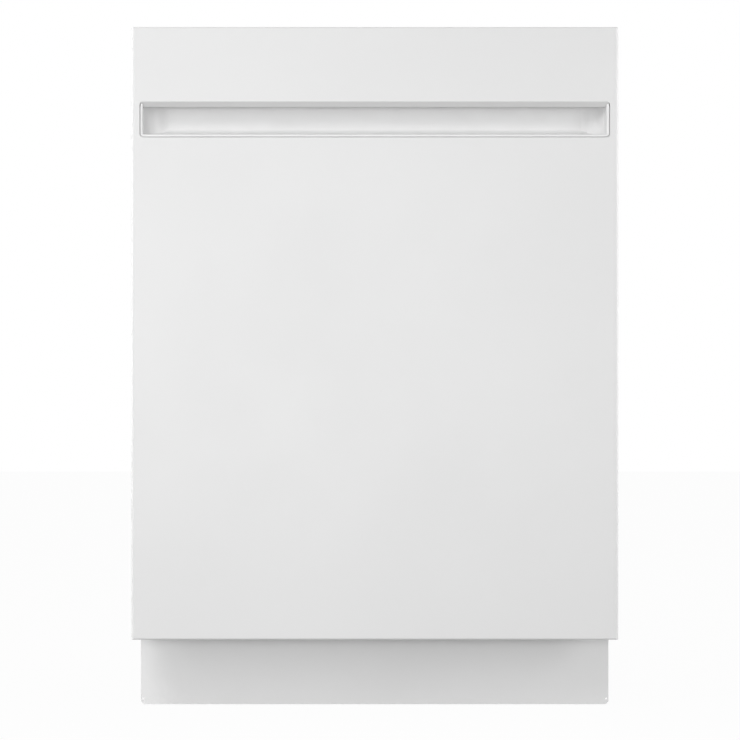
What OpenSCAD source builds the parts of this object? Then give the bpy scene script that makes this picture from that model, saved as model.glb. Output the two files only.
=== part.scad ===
// Built-in dishwasher, 24 inch class, compact height, hidden top controls.
// Millimetres. Z up, the door faces -Y, the origin is on the floor below the middle.

/* [Overall size] */
// Width across the door, the widest part
body_w = 603; // [590:1:620]
// Height of the door's top edge above the floor
body_h = 848; // [835:1:870]
// Depth from the door's face to the drain outlet at the back
body_d = 610; // [600:1:640]

/* [Door] */
// Height of the door's lower edge above the floor
door_z0 = 90; // [85:1:95]
// Depth of the folded sides of the door's front sheet
door_fold = 28; // [24:1:32]
// Distance from the door's face to its inner face
door_t = 55; // [52:1:60]
// Thickness of the door's front sheet
sheet_t = 0.9; // [0.7:0.1:1.2]
// Outside radius of the front sheet's upright edges
edge_r = 4.5; // [3:0.5:6]
// Radius of the front sheet's top and bottom edges
edge_top_r = 2; // [1:0.5:3]

/* [Pocket handle] */
// Half the width of the finger opening
pocket_half = 291; // [200:1:293]
// Height of the opening's lower edge
pocket_z0 = 711.3; // [690:0.1:730]
// Height where the sheet starts to turn inwards
pocket_z1 = 756.5; // [740:0.1:765]
// Outside radius of the two bends of the turned lip along the top
lip_r = 2; // [1.5:0.1:3]
// How far the turned lip drops
lip_drop = 7.2; // [6:0.1:9]
// How far the turned lip reaches in
lip_reach = 9; // [7:0.5:12]
// Depth of the finger recess
pocket_deep = 34; // [28:1:36]
// Height of the recess roof, above the turned lip
pocket_roof = 778; // [765:1:795]
// Slope of the recess floor, in degrees
pocket_slope = 4; // [2:1:25]
// Radius of the recess's upright ends, seen from above
pocket_end_r = 31; // [20:1:32]
// Corner radius of the opening
pocket_corner_r = 5; // [2:0.5:10]

/* [Cabinet] */
// Half the outer width of the tub
tub_half = 280; // [270:1:282]
// Height of the tub's outer top
tub_top = 828; // [810:1:830]
// Height of the tub floor's rim, which carries the lower rack's wheels
floor_z = 140; // [136:1:144]
// Thickness of the tub's sheet
tub_t = 1.5; // [1:0.1:2]
// How far the toe kick stands behind the door's face
toe_recess = 80; // [76:1:90]
// Half the width of the toe kick
toe_half = 295; // [290:1:298]
// Height of the toe kick's upper edge
toe_top = 106; // [100:1:108]

/* [Racks] */
// Half the width of the racks
rack_half = 238; // [220:1:240]
// Height of the upper rack's floor wires
upper_z = 486; // [470:1:500]
// Height of the upper rack's rim wire
upper_rim = 600; // [580:1:620]
// Height of the lower rack's floor wires
lower_z = 190; // [188:1:195]
// Height of the lower rack's rim wire
lower_rim = 300; // [280:1:320]
// Diameter of the rack wires
wire_d = 3.6; // [3:0.2:5]
// Diameter of the rim wires
rim_d = 5; // [4:0.2:6]

/* [Hidden] */
$fn = 64;

// the facings of the body
face_y = -body_d/2;
back_y = body_d/2;
half_w = body_w/2;
inner_y = face_y + door_t;
fold_y = face_y + door_fold;

// the fine gap round the handle insert, the radius of its rounded rim,
// and how far the rim stands behind the sheet's face
pocket_gap = 1.3;
pocket_rim = 3;
rim_back = 0.3;

// the door's hinge line
hinge_y = -268;
hinge_z = 120;
hinge_pin_r = 5;
pin_fit = 0.05;

// the inner door and the console above it
liner_half = 286;
liner_z0 = 118;
liner_z1 = 806;
liner_t = 1.2;
liner_r = 6;
liner_step = 6;
liner_step_half = 235;
liner_step_z0 = 172;
liner_step_z1 = 772;
console_half = 300.2;
console_top = 846.8;
console_gap = 0.6;

// the top buttons
button_x = [-176, -146, 146, 176];
button_w = 14;
button_l = 26;
button_y = -276;
button_top = 847.7;
button_base = 839.7;
button_well = 838;
button_gap = 0.3;

// the latch
latch_half = 32;
latch_z0 = 815;
latch_z1 = 842;
latch_deep = 36;
pawl_y = -280;
pawl_z = 829;
pawl_rod_r = 3;
strike_half = 13;
strike_z = 836.3;
strike_t = 2.5;

// the detergent dispenser
disp_x0 = -110;
disp_x1 = 90;
disp_z0 = 340;
disp_z1 = 520;
disp_plate = 4;
cup_x = -55;
cup_z = 460;
cup_size = 68;
cup_deep = 30;
lid_size = 76;
lid_t = 3;
lid_gap = 0.4;
cap_x = 45;
cap_z = 465;
cap_r = 17;

// the hinges
bracket_x0 = 289.2;
bracket_t = 2.6;
arm_x0 = 292.4;
arm_t = 2.5;
nose_r = 8;

// the tub
tub_front = -246;
tub_back_y = 285;
tub_corner_r = 32;
flange_w = 14;
flange_z0 = 140;
base_half = 289;
base_front = -222;
base_back = 296;
base_z0 = 20;
base_z1 = 127.5;
base_t = 3;
post_x = 210;
post_top = 48;
floor_y1 = 282.5;
gasket_w = 12;

// the sump, the pumps and the spray arms
sump_x = 45;
sump_y = 20;
sump_r = 68;
sump_top = 125.9;
sump_z0 = 60;
sump_port = 86;
hub_y = 20;
riser_r = 11;
filter_x = 70;
filter_r = 32;
heater_r = 165;
heater_z = 150;
heater_d = 7;
duct_r = 9;
duct_y = 268;
duct_z = 812;
duct_low = 100;
dock_z = 472;
drain_x = 140;
drain_z = 60;
drain_r = 9;
inlet_x = -205;
inlet_y = -176;
box_x = 190;
box_y = -170;

// the levelling legs
leg_x = 262;
leg_front = -188;
leg_back = 262;
leg_r = 6;
foot_r = 17;

// the racks
rack_front = -222;
rack_back = 232;
rack_corner = 14;
lower_back = 226;
wheel_r = 18;
wheel_w = 12;
wheel_x = 252;
wheel_front = -126;
wheel_back = 165;
axle_r = 3.5;
axle_z = floor_z + wheel_r + 0.2;
fold_tine_y = 80;
fold_tine_z = 202;
shelf_x = -226;
shelf_z = 572;

// the slides of the upper rack
rail_z = 572;
rail_front = -236;
rail_back = 236;

// ---------------------------------------------------------------- helpers

// a box given by its limits
module box(x0, x1, y0, y1, z0, z1) {
  translate([x0, y0, z0]) cube([x1 - x0, y1 - y0, z1 - z0]);
}

// round bars along each axis, between two limits
module rod_x(x0, x1, y, z, r) {
  translate([x0, y, z]) rotate([0, 90, 0]) cylinder(r = r, h = x1 - x0);
}
module rod_y(y0, y1, x, z, r) {
  translate([x, y0, z]) rotate([-90, 0, 0]) cylinder(r = r, h = y1 - y0);
}
module rod_z(z0, z1, x, y, r) {
  translate([x, y, z0]) cylinder(r = r, h = z1 - z0);
}

// a flat rectangle with round corners, about the origin
module round_rect(w, h, r) {
  square([w - 2*r, h], center = true);
  square([w, h - 2*r], center = true);
  for (x = [-1, 1], y = [-1, 1]) translate([x*(w/2 - r), y*(h/2 - r)]) circle(r);
}

// a plate with round corners lying in XZ, between two depths
module plate_xz(x0, x1, z0, z1, y0, y1, r) {
  translate([(x0 + x1)/2, y1, (z0 + z1)/2]) rotate([90, 0, 0])
    linear_extrude(y1 - y0) round_rect(x1 - x0, z1 - z0, r);
}

// a plate with round corners lying in XY, between two heights
module plate_xy(x0, x1, y0, y1, z0, z1, r) {
  translate([(x0 + x1)/2, (y0 + y1)/2, z0])
    linear_extrude(z1 - z0) round_rect(x1 - x0, y1 - y0, r);
}

// a rectangle from y = 0 with its two corners at y = 0 rounded
module front_rounded(w, d, r) {
  translate([-w/2, r]) square([w, d - r]);
  translate([-w/2 + r, 0]) square([w - 2*r, d]);
  for (x = [-1, 1]) translate([x*(w/2 - r), r]) circle(r);
}

// a quarter bend of round bar in XZ; turn picks the quarter
module bend_xz(x, y, z, bend_r, r, turn) {
  translate([x, y, z]) rotate([90, 0, 0]) rotate([0, 0, turn])
    rotate_extrude(angle = 90) translate([bend_r, 0]) circle(r);
}

// a quarter bend of round bar in YZ; turn picks the quarter
module bend_yz(x, y, z, bend_r, r, turn) {
  translate([x, y, z]) rotate([90, 0, 90]) rotate([0, 0, turn])
    rotate_extrude(angle = 90) translate([bend_r, 0]) circle(r);
}

// a quarter bend of round bar in XY; turn picks the quarter
module bend_xy(x, y, z, bend_r, r, turn) {
  translate([x, y, z]) rotate([0, 0, turn])
    rotate_extrude(angle = 90) translate([bend_r, 0]) circle(r);
}

// draws a left part as its right-hand mirror
module mirrored() {
  mirror([1, 0, 0]) children();
}

// ---------------------------------------------------------------- door

// the door's outside form, inset by a sheet's thickness
module door_form(inset) {
  w = body_w - 2*inset;
  h = body_h - door_z0 - 2*inset;
  r_side = edge_r - inset;
  r_top = edge_top_r - inset;
  intersection() {
    translate([0, face_y + inset, door_z0 + inset])
      linear_extrude(h) front_rounded(w, door_fold + 10, r_side);
    translate([-w/2, face_y + inset, door_z0 + inset + h/2]) rotate([90, 0, 90])
      linear_extrude(w) rotate([0, 0, -90]) front_rounded(h, door_fold + 10, r_top);
  }
}

module door_panel() {
  top_fold = 6;
  flange = half_w - liner_half;
  color("gainsboro") {
    difference() {
      door_form(0);
      door_form(sheet_t);
      // the folded sides end level with the inner door's edge
      box(-half_w - 1, half_w + 1, fold_y, fold_y + 20, door_z0 - 1, body_h + 1);
      // the top fold is narrow, so the console's keys stay in reach
      box(-half_w + sheet_t, half_w - sheet_t, face_y + top_fold, fold_y + 1,
          body_h - 5, body_h + 1);
      // the finger opening
      plate_xz(-pocket_half, pocket_half, pocket_z0, pocket_z1 + pocket_corner_r,
               face_y - 1, face_y + sheet_t + 1, pocket_corner_r);
    }
    // the strip above the turned lip, with the opening's two round upper corners
    difference() {
      box(-pocket_half - 0.5, pocket_half + 0.5, face_y, face_y + sheet_t,
          pocket_z1 - pocket_corner_r, pocket_z1 + pocket_corner_r + 0.5);
      box(-pocket_half + pocket_corner_r, pocket_half - pocket_corner_r,
          face_y - 1, face_y + sheet_t + 1, pocket_z1 - pocket_corner_r - 1, pocket_z1);
      for (s = [-1, 1])
        rod_y(face_y - 1, face_y + sheet_t + 1, s*(pocket_half - pocket_corner_r),
              pocket_z1 - pocket_corner_r, pocket_corner_r);
    }
    turned_lip();
    back_flange(flange);
  }
}

// the turned lip in section, inset by a sheet's thickness: Y runs back, Z runs up
module lip_section(inset) {
  r = lip_r - inset;
  upper = [lip_r, pocket_z1];
  lower = [lip_reach - lip_r, pocket_z1 - lip_drop + lip_r];
  fall = lower - upper;
  // set just under the bends' tangent, so each bend cuts the slope cleanly
  slope = (r - 0.01)/norm(fall)*[fall[1], -fall[0]];
  polygon([
    upper + [-r, 1],
    upper + [-r, 0],
    upper + slope,
    lower + slope,
    lower + [r, 0],
    [lower[0] + r, upper[1] + 1]
  ]);
  translate(upper) circle(r);
  translate(lower) circle(r);
}

// the lip's section as a bar along the whole opening
module lip_bar(inset, half) {
  translate([-half, face_y, 0]) rotate([90, 0, 90])
    linear_extrude(2*half) lip_section(inset);
}

// the sheet turned in, down and back up along the top of the finger opening
module turned_lip() {
  difference() {
    lip_bar(0, pocket_half);
    lip_bar(sheet_t, pocket_half + 1);
    box(-pocket_half - 1, pocket_half + 1, face_y - 1, face_y + lip_reach + 1,
        pocket_z1, pocket_z1 + lip_r + 1);
  }
}

// the narrow flange that closes the front sheet round the inner door
module back_flange(flange) {
  difference() {
    box(-half_w + 0.1, half_w - 0.1, fold_y - 1, fold_y, door_z0 + 0.1, liner_z1);
    box(-half_w + flange, half_w - flange, fold_y - 2, fold_y + 1,
        liner_z0, liner_z1 + 1);
  }
}

// the recess in section, grown outwards by a wall: Y runs back, Z runs up
module pocket_section(grow) {
  blend = 6;
  r = blend + grow;
  run = pocket_deep - blend;
  // the floor runs on from the rounded rim
  z_floor = pocket_z0 + pocket_gap + pocket_rim/cos(pocket_slope)
    - (rim_back + pocket_rim)*tan(pocket_slope);
  zc = z_floor + run*tan(pocket_slope) + blend/cos(pocket_slope);
  foot_y = run + r*sin(pocket_slope);
  foot_z = zc - r*cos(pocket_slope);
  polygon([
    [0, z_floor - grow/cos(pocket_slope)],
    [foot_y, foot_z],
    [run, zc],
    [pocket_deep + grow, zc],
    [pocket_deep + grow, pocket_roof + grow],
    [0, pocket_roof + grow]
  ]);
  translate([run, zc]) circle(r + 0.02);
}

// the recess as a solid: its section along X, with full-depth round ends
module pocket_form(grow) {
  half = pocket_half - pocket_gap - pocket_rim + grow;
  end_r = pocket_end_r + grow;
  intersection() {
    translate([-half - 5, face_y, 0]) rotate([90, 0, 90])
      linear_extrude(2*half + 10) pocket_section(grow);
    translate([0, face_y + pocket_deep + grow + 0.02, pocket_z0 - 10])
      linear_extrude(pocket_roof - pocket_z0 + 20)
        mirror([0, 1]) front_rounded(2*half, pocket_deep + grow + 8, end_r);
  }
}

module pocket_handle() {
  wall = 2;
  groove = 3;
  flange = 6;
  seat_y = face_y + sheet_t + 0.05;
  lip_clear = 1;
  rim_y = face_y + rim_back + pocket_rim;
  color("silver") difference() {
    union() {
      pocket_form(wall);
      // the flange that seats behind the front sheet, thicker round the opening
      plate_xz(-pocket_half - flange, pocket_half + flange, pocket_z0 - flange,
               pocket_roof + wall, seat_y, seat_y + wall, 4);
      plate_xz(-pocket_half - wall, pocket_half + wall, pocket_z0 - wall,
               pocket_roof, seat_y, seat_y + groove + wall, pocket_corner_r + wall);
      // the rim that fills the opening almost to the sheet's face
      pocket_rim_plate(face_y + rim_back, seat_y + 1);
    }
    pocket_form(0);
    // all that would stand in front of the sheet's seat, but for the rim
    difference() {
      box(-half_w, half_w, face_y - 1, seat_y, pocket_z0 - 20, pocket_roof + 20);
      pocket_rim_plate(face_y + rim_back, seat_y + 1);
    }
    // the rim's front edge is rounded over into the recess
    difference() {
      pocket_rim_plate(face_y - 1, rim_y);
      for (s = [-1, 1])
        rod_z(pocket_z0 - 1, pocket_z1 + 1, s*(pocket_half - pocket_gap), rim_y, pocket_rim);
      rod_x(-pocket_half, pocket_half, rim_y, pocket_z0 + pocket_gap, pocket_rim);
    }
    // the narrow groove between the rim and the sheet's edge
    difference() {
      plate_xz(-pocket_half, pocket_half, pocket_z0, pocket_z1, face_y - 1,
               seat_y + groove, pocket_corner_r);
      pocket_rim_plate(face_y - 2, seat_y + groove + 1);
    }
    // room for the turned lip and the sheet above it
    lip_bar(-lip_clear, half_w);
    box(-half_w, half_w, face_y - 1, face_y + lip_reach + lip_clear,
        pocket_z1, pocket_roof - wall - 2);
    box(-half_w, half_w, face_y - 1, seat_y, pocket_z1 - lip_drop + lip_clear,
        pocket_roof + wall + 1);
  }
}

// the outline of the insert's rim between two depths
module pocket_rim_plate(y0, y1) {
  plate_xz(-pocket_half + pocket_gap, pocket_half - pocket_gap, pocket_z0 + pocket_gap,
           pocket_z1 - pocket_gap, y0, y1, pocket_corner_r - pocket_gap);
}

// the inner door's outside form, inset by its thickness
module liner_form(inset) {
  w = 2*(liner_half - inset);
  h = liner_z1 - liner_z0 - 2*inset;
  depth = inner_y - fold_y - 0.1;
  translate([0, inner_y - inset, liner_z0 + inset]) linear_extrude(h)
    mirror([0, 1]) front_rounded(w, depth - inset + (inset > 0 ? 5 : 0), liner_r - inset);
}

module inner_door() {
  color("lightgray") difference() {
    liner_form(0);
    difference() {
      liner_form(liner_t);
      plate_xz(-liner_step_half - liner_t, liner_step_half + liner_t,
               liner_step_z0 - liner_t, liner_step_z1 + liner_t,
               inner_y - liner_step - liner_t, inner_y, 24 + liner_t);
    }
    // the shallow pressed step in the middle
    plate_xz(-liner_step_half, liner_step_half, liner_step_z0, liner_step_z1,
             inner_y - liner_step, inner_y + 1, 24);
    // the dispenser's hole
    plate_xz(disp_x0 + 9.5, disp_x1 - 9.5, disp_z0 + 9.5, disp_z1 - 9.5,
             inner_y - 20, inner_y, 6);
  }
}

module control_console() {
  y0 = face_y + sheet_t + 0.1;
  y1 = inner_y - console_gap;
  z0 = liner_z1 + 0.3;
  color("dimgray") difference() {
    plate_xy(-console_half, console_half, y0, y1, z0, console_top, 3);
    // the step under the top fold of the front sheet
    box(-half_w, half_w, y0 - 1, face_y + 6.4, body_h - sheet_t - 0.6, body_h);
    // wells for the keys
    for (x = button_x) translate([x, button_y, button_well]) linear_extrude(20)
      round_rect(button_w + 2*button_gap, button_l + 2*button_gap, 3 + button_gap);
    // the shallow display window between the keys
    plate_xy(-95, 95, button_y - 9, button_y + 9, console_top - 0.8, console_top + 1, 4);
    // the latch slot
    plate_xz(-latch_half, latch_half, latch_z0, latch_z1, y1 - latch_deep, y1 + 1, 3);
    // the bores that hold the pawl's rod
    rod_x(-latch_half - 5, latch_half + 5, pawl_y, pawl_z, pawl_rod_r + pin_fit);
  }
}

// one top key
module button(i) {
  translate([button_x[i], button_y, button_base]) {
    linear_extrude(button_top - button_base - 0.8) round_rect(button_w, button_l, 3);
    translate([0, 0, button_top - button_base - 0.9]) linear_extrude(0.9)
      round_rect(button_w - 1.4, button_l - 1.4, 2.3);
  }
}
module power_button() { color("black") button(0); }
module cycle_button() { color("black") button(1); }
module options_button() { color("black") button(2); }
module start_button() { color("black") button(3); }

// the sprung pawl that holds the strike
module latch_pawl() {
  reach = 24;
  rise = 3;
  half = 20;
  color("gray") {
    rod_x(-latch_half - 4, latch_half + 4, pawl_y, pawl_z, pawl_rod_r);
    box(-half, half, pawl_y, pawl_y + reach, pawl_z - 2, pawl_z + 2);
    rod_x(-half, half, pawl_y + reach, pawl_z + rise, 3.5);
    box(-half, half, pawl_y + reach - 3, pawl_y + reach + 3, pawl_z - 2, pawl_z + rise);
  }
}

module detergent_dispenser() {
  y0 = inner_y - liner_step;
  y_face = y0 + disp_plate;
  guide = 2.5;
  half_lid = lid_size/2 + lid_gap;
  guide_z0 = disp_z0 + 6;
  guide_z1 = cup_z + half_lid + 4;
  body_deep = 30;
  color("whitesmoke") difference() {
    union() {
      plate_xz(disp_x0, disp_x1, disp_z0, disp_z1, y0 + 0.05, y_face, 14);
      plate_xz(disp_x0 + 10, disp_x1 - 10, disp_z0 + 10, disp_z1 - 10,
               y0 - body_deep, y0 + 1, 6);
      // the lid's guides, each with a lip over the lid's edge
      for (s = [-1, 1]) {
        x = cup_x + s*(half_lid + guide/2);
        box(x - guide/2, x + guide/2, y_face - 1, y_face + lid_t + 2.6,
            guide_z0, guide_z1);
        box(min(x, x - s*3), max(x, x - s*3), y_face + lid_t + 0.9,
            y_face + lid_t + 2.6, guide_z0, guide_z1);
      }
      box(cup_x - half_lid - guide, cup_x + half_lid + guide, y_face - 1,
          y_face + lid_t + 1, guide_z1 - 3, guide_z1);
      // the raised ring round the rinse-aid cap
      rod_y(y_face - 1, y_face + 1.5, cap_x, cap_z, cap_r + 5);
    }
    // the detergent cup
    plate_xz(cup_x - cup_size/2, cup_x + cup_size/2, cup_z - cup_size/2,
             cup_z + cup_size/2, y_face - cup_deep, y_face + 10, 12);
    // the seat of the rinse-aid cap
    rod_y(y_face - 6, y_face + 10, cap_x, cap_z, cap_r + 0.4);
    rod_y(y_face - 22, y_face, cap_x, cap_z, 9);
    // the prewash dimple
    rod_y(y_face - 4, y_face + 1, cap_x, cap_z - 62, 16);
  }
}

module detergent_lid() {
  y0 = inner_y - liner_step + disp_plate + 0.3;
  half = lid_size/2;
  color("white") difference() {
    union() {
      plate_xz(cup_x - half, cup_x + half, cup_z - half, cup_z + half, y0, y0 + lid_t, 4);
      plate_xz(cup_x - half + 9, cup_x + half - 9, cup_z - half + 6, cup_z - half + 14,
               y0 + 1, y0 + lid_t + 3, 3);
    }
    for (k = [0:3]) box(cup_x - 22, cup_x + 22, y0 + lid_t - 0.8, y0 + lid_t + 1,
                        cup_z - 12 + 8*k, cup_z - 9 + 8*k);
  }
}

module rinse_cap() {
  y_face = inner_y - liner_step + disp_plate;
  color("deepskyblue") {
    rod_y(y_face - 5.6, y_face + 2, cap_x, cap_z, cap_r);
    rod_y(y_face - 20, y_face - 5, cap_x, cap_z, 8.6);
    box(cap_x - 3, cap_x + 3, y_face + 1, y_face + 6.5, cap_z - 13, cap_z + 13);
  }
}

// the strip that closes the tub's lower front edge, fixed to the door
module bottom_seal() {
  color("black") {
    box(-262, 262, inner_y + 0.05, inner_y + 2, liner_z0 + 4, liner_z0 + 16);
    rod_x(-262, 262, inner_y + 1.6, liner_z0 + 16, 1.5);
  }
}

// the door's side of the hinge: the arm, its pin and its spacers
module hinge_arm_right() {
  arm_top = 330;
  arm_y0 = hinge_y - 8;
  arm_y1 = hinge_y + 9;
  color("darkgray") {
    difference() {
      union() {
        box(arm_x0, arm_x0 + arm_t, arm_y0, arm_y1, hinge_z, arm_top);
        rod_x(arm_x0, arm_x0 + arm_t, hinge_y, hinge_z, nose_r);
      }
      for (z = [180, 240, 300]) rod_x(arm_x0 - 1, arm_x0 + arm_t + 1, hinge_y, z, 2.6);
    }
    rod_x(286.8, arm_x0 + 0.5, hinge_y, hinge_z, hinge_pin_r);
    for (z = [210, 270]) rod_x(liner_half + 0.05, arm_x0 + 0.5, hinge_y, z, 6);
  }
}
module hinge_arm_left() { mirrored() hinge_arm_right(); }

// ---------------------------------------------------------------- cabinet

// the tub's arch in section, inset by a thickness, down to a height
module arch(inset, z0) {
  half = tub_half - inset;
  top = tub_top - inset;
  r = tub_corner_r - inset;
  mid = (top + z0)/2 - r;
  translate([0, (top + z0)/2 - r/2]) square([2*half, top - z0 - r], center = true);
  translate([-half + r, z0]) square([2*half - 2*r, top - z0]);
  for (s = [-1, 1]) translate([s*(half - r), top - r]) circle(r);
}

module arch_solid(inset, z0, y0, y1) {
  translate([0, y1, 0]) rotate([90, 0, 0]) linear_extrude(y1 - y0) arch(inset, z0);
}

module tub_wrap() {
  color("silver") {
    difference() {
      arch_solid(0, 130.2, tub_front, tub_back_y);
      arch_solid(tub_t, 129, tub_front - 1, tub_back_y + 1);
    }
    // the flange round the mouth, which carries the door seal
    difference() {
      arch_solid(-flange_w, flange_z0, tub_front, tub_front + tub_t);
      arch_solid(tub_t/2, flange_z0 - 1, tub_front - 1, tub_front + tub_t + 1);
    }
    // pressed beads that stiffen the side walls
    for (s = [-1, 1], z = [330, 400, 690, 750])
      intersection() {
        rod_y(-190, 230, s*(tub_half + 3.5), z, 8);
        box(-tub_half + 0.2, tub_half - 0.2, -200, 240, z - 10, z + 10);
      }
  }
}

module tub_back() {
  y0 = tub_back_y - 2.5;
  t = tub_t;
  deep = 4;
  color("silver") difference() {
    union() {
      arch_solid(t + 0.1, 140.1, y0, y0 + t);
      // pressed panels either side of the feed duct
      for (s = [-150, 150]) plate_xz(s - 80, s + 80, 240, 740, y0 - deep, y0 + 0.5, 40);
    }
    for (s = [-150, 150])
      plate_xz(s - 80 + t, s + 80 - t, 240 + t, 740 - t, y0 - deep + t, y0 + t + 1, 40 - t);
  }
}

module tub_floor() {
  dish_r = 190;
  dish_low = 78;
  dish_z = 129;
  half = tub_half - tub_t - 0.1;
  color("gray") difference() {
    union() {
      box(-base_half, base_half, -240, floor_y1 + 8, base_z1 + 0.1, base_z1 + 2.5);
      box(-half, half, tub_front, floor_y1 - 0.2, base_z1 + 0.1, floor_z);
      translate([sump_x, sump_y, 126])
        cylinder(r1 = dish_low + 3, r2 = dish_r + 3, h = floor_z - 126 - 1);
    }
    // the hollow underneath, left inside the rim and its two ribs
    difference() {
      box(-half + 8, half - 8, tub_front + 8, floor_y1 - 8, base_z1 - 2, floor_z - 3);
      translate([sump_x, sump_y, 120])
        cylinder(r1 = dish_low + 3 - 54, r2 = dish_r + 12, h = floor_z - 120);
      for (x = [-226, 240]) box(x - 2, x + 2, tub_front, floor_y1, base_z1, floor_z);
    }
    // the dished part that drains to the sump
    translate([sump_x, sump_y, dish_z])
      cylinder(r1 = dish_low, r2 = dish_r, h = floor_z - dish_z + 0.01);
    rod_z(100, 200, sump_x, sump_y, sump_r - 2);
    // the holes for the heater's ends, the float and the feed duct
    for (a = [-6, 6])
      rod_z(100, 200, heater_r*sin(a), hub_y - heater_r*cos(a), heater_d/2 + 0.6);
    rod_z(100, 200, -198, -190, 8);
    rod_z(100, 200, 0, duct_y, duct_r + 0.2);
  }
}

// the raised strip that keeps the water in, between the tracks of the lower rack's wheels
module door_sill() {
  half = 232;
  rise = 7;
  width = 8;
  color("gray") {
    box(-half, half, tub_front, tub_front + width, floor_z + 0.05, floor_z + rise);
    rod_x(-half, half, tub_front + width/2, floor_z + rise, width/2);
  }
}

module door_gasket() {
  z1 = tub_top + 7;
  w = gasket_w;
  color("dimgray") {
    difference() {
      arch_solid(-w/2 - 1, flange_z0 + 1, tub_front - 1.6, tub_front - 0.05);
      arch_solid(w/2 - 1, flange_z0, tub_front - 3, tub_front + 1);
    }
    difference() {
      arch_solid(-w/4 - 1, flange_z0 + 1, tub_front - 3.5, tub_front - 1);
      arch_solid(w/4 - 1, flange_z0, tub_front - 6, tub_front + 1);
    }
  }
}

module insulation_blanket() {
  t = 10;
  gap = 0.4;
  color("slategray") {
    difference() {
      arch_solid(-gap - t, 150, tub_front + 12, tub_back_y + t + gap);
      arch_solid(-gap, 149, tub_front + 11, tub_back_y + gap);
      // the two cut corners at the back, where the blanket is folded
      for (s = [-1, 1]) translate([s*(tub_half + t + gap), tub_back_y + t + gap, 100])
        rotate([0, 0, 45]) cube([9, 9, 1600], center = true);
    }
  }
}

module base_pan() {
  boss_r = 15;
  boss_top = 70;
  sill = 42;
  y_mid = (base_front + base_back)/2;
  y_len = base_back - base_front;
  color("darkslategray") difference() {
    union() {
      difference() {
        translate([0, y_mid, base_z0]) linear_extrude(base_z1 - base_z0)
          round_rect(2*base_half, y_len, 12);
        translate([0, y_mid, base_z0 + base_t]) linear_extrude(base_z1)
          round_rect(2*(base_half - base_t), y_len - 2*base_t, 12 - base_t);
        // the service opening behind the toe kick
        plate_xz(-235, 235, sill, base_z1 + 30, base_front - 1, base_front + base_t + 1, 8);
        // openings in the side and back walls
        for (y = [-70, 40, 150]) box(-base_half - 1, base_half + 1, y - 35, y + 35, 50, 105);
        for (x = [-170, 0]) box(x - 50, x + 50, base_back - 10, base_back + 1, 50, 105);
      }
      // bosses for the levelling legs
      for (x = [-leg_x, leg_x], y = [leg_front, leg_back])
        rod_z(base_z0, boss_top, x, y, boss_r);
      // stiffening ribs across the pan
      for (x = [-238, 238]) box(x - 1.5, x + 1.5, base_front + 1, base_back - 1,
                                base_z0, base_z0 + 10);
      // the two posts that carry the toe kick
      for (x = [-post_x, post_x])
        box(x - 15, x + 15, base_front - 1.2, base_front + base_t, 26, post_top);
    }
    for (x = [-leg_x, leg_x], y = [leg_front, leg_back])
      rod_z(base_z0 - 1, boss_top + 1, x, y, leg_r + pin_fit);
    // the holes for the drain hose, the supply hose and the house cable
    rod_y(base_back - 10, base_back + 1, drain_x, drain_z, drain_r + 7);
    rod_z(base_z0 - 1, base_z0 + base_t + 1, inlet_x, inlet_y, 18);
    rod_z(base_z0 - 1, base_z0 + base_t + 1, box_x, box_y, 18);
  }
}

module toe_kick() {
  y0 = face_y + toe_recess;
  t = 1.2;
  z0 = 2;
  fold = 12;
  notch = 5;
  hook_half = 10;
  hook_back = base_front + base_t + 0.2 + t;
  color("lightgray") difference() {
    union() {
      box(-toe_half, toe_half, y0, y0 + t, z0, toe_top);
      for (s = [-1, 1]) box(min(s*toe_half, s*(toe_half - t)), max(s*toe_half, s*(toe_half - t)),
                            y0, y0 + fold, z0 + notch + 2, toe_top);
      box(-toe_half + notch + 2, toe_half - notch - 2, y0, y0 + fold - 4, z0, z0 + t);
      rod_x(-toe_half, toe_half, y0 + t/2, toe_top, t/2);
      // hooks that hang on the base pan's posts
      for (x = [-post_x, post_x]) {
        box(x - hook_half, x + hook_half, y0 + t - 0.2, hook_back, post_top + 0.1, post_top + 0.1 + t);
        box(x - hook_half, x + hook_half, hook_back - t, hook_back, post_top - 5, post_top + 0.1 + t);
      }
    }
    // cut corners and the relief holes beside the folds
    for (s = [-1, 1]) {
      translate([s*toe_half, y0, z0]) rotate([0, 45, 0]) cube([notch, 20, notch], center = true);
      rod_y(y0 - 1, y0 + t + 1, s*(toe_half - 2.6), z0 + notch + 2, 1.3);
    }
  }
}

// the tab that is screwed up into the worktop
module mounting_tab_right() {
  x0 = 170;
  x1 = 230;
  z0 = tub_top + flange_w + 0.1;
  color("darkgray") difference() {
    union() {
      plate_xy(x0, x1, tub_front + 0.1, tub_front + 34, z0, z0 + 1.5, 3);
      box(x0 + 4, x1 - 4, tub_front + tub_t + 0.1, tub_front + tub_t + 1.6,
          z0 - 12, z0 + 1);
    }
    for (x = [x0 + 15, x1 - 15]) rod_z(z0 - 1, z0 + 3, x, tub_front + 20, 2.5);
  }
}
module mounting_tab_left() { mirrored() mounting_tab_right(); }

module strike_plate() {
  y0 = -273;
  color("darkgray") difference() {
    union() {
      plate_xy(-strike_half, strike_half, y0, tub_front - 0.05, strike_z, strike_z + strike_t, 3);
      box(-strike_half, strike_half, tub_front - 4, tub_front - 0.05, strike_z, strike_z + strike_t);
      box(-strike_half - 14, strike_half + 14, tub_front - 2, tub_front - 0.05,
          strike_z - 0.7, tub_top + flange_w);
    }
    // the slot the pawl drops behind
    box(-7, 7, y0 + 6, y0 + 16, strike_z - 1, strike_z + strike_t + 1);
  }
}

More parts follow.
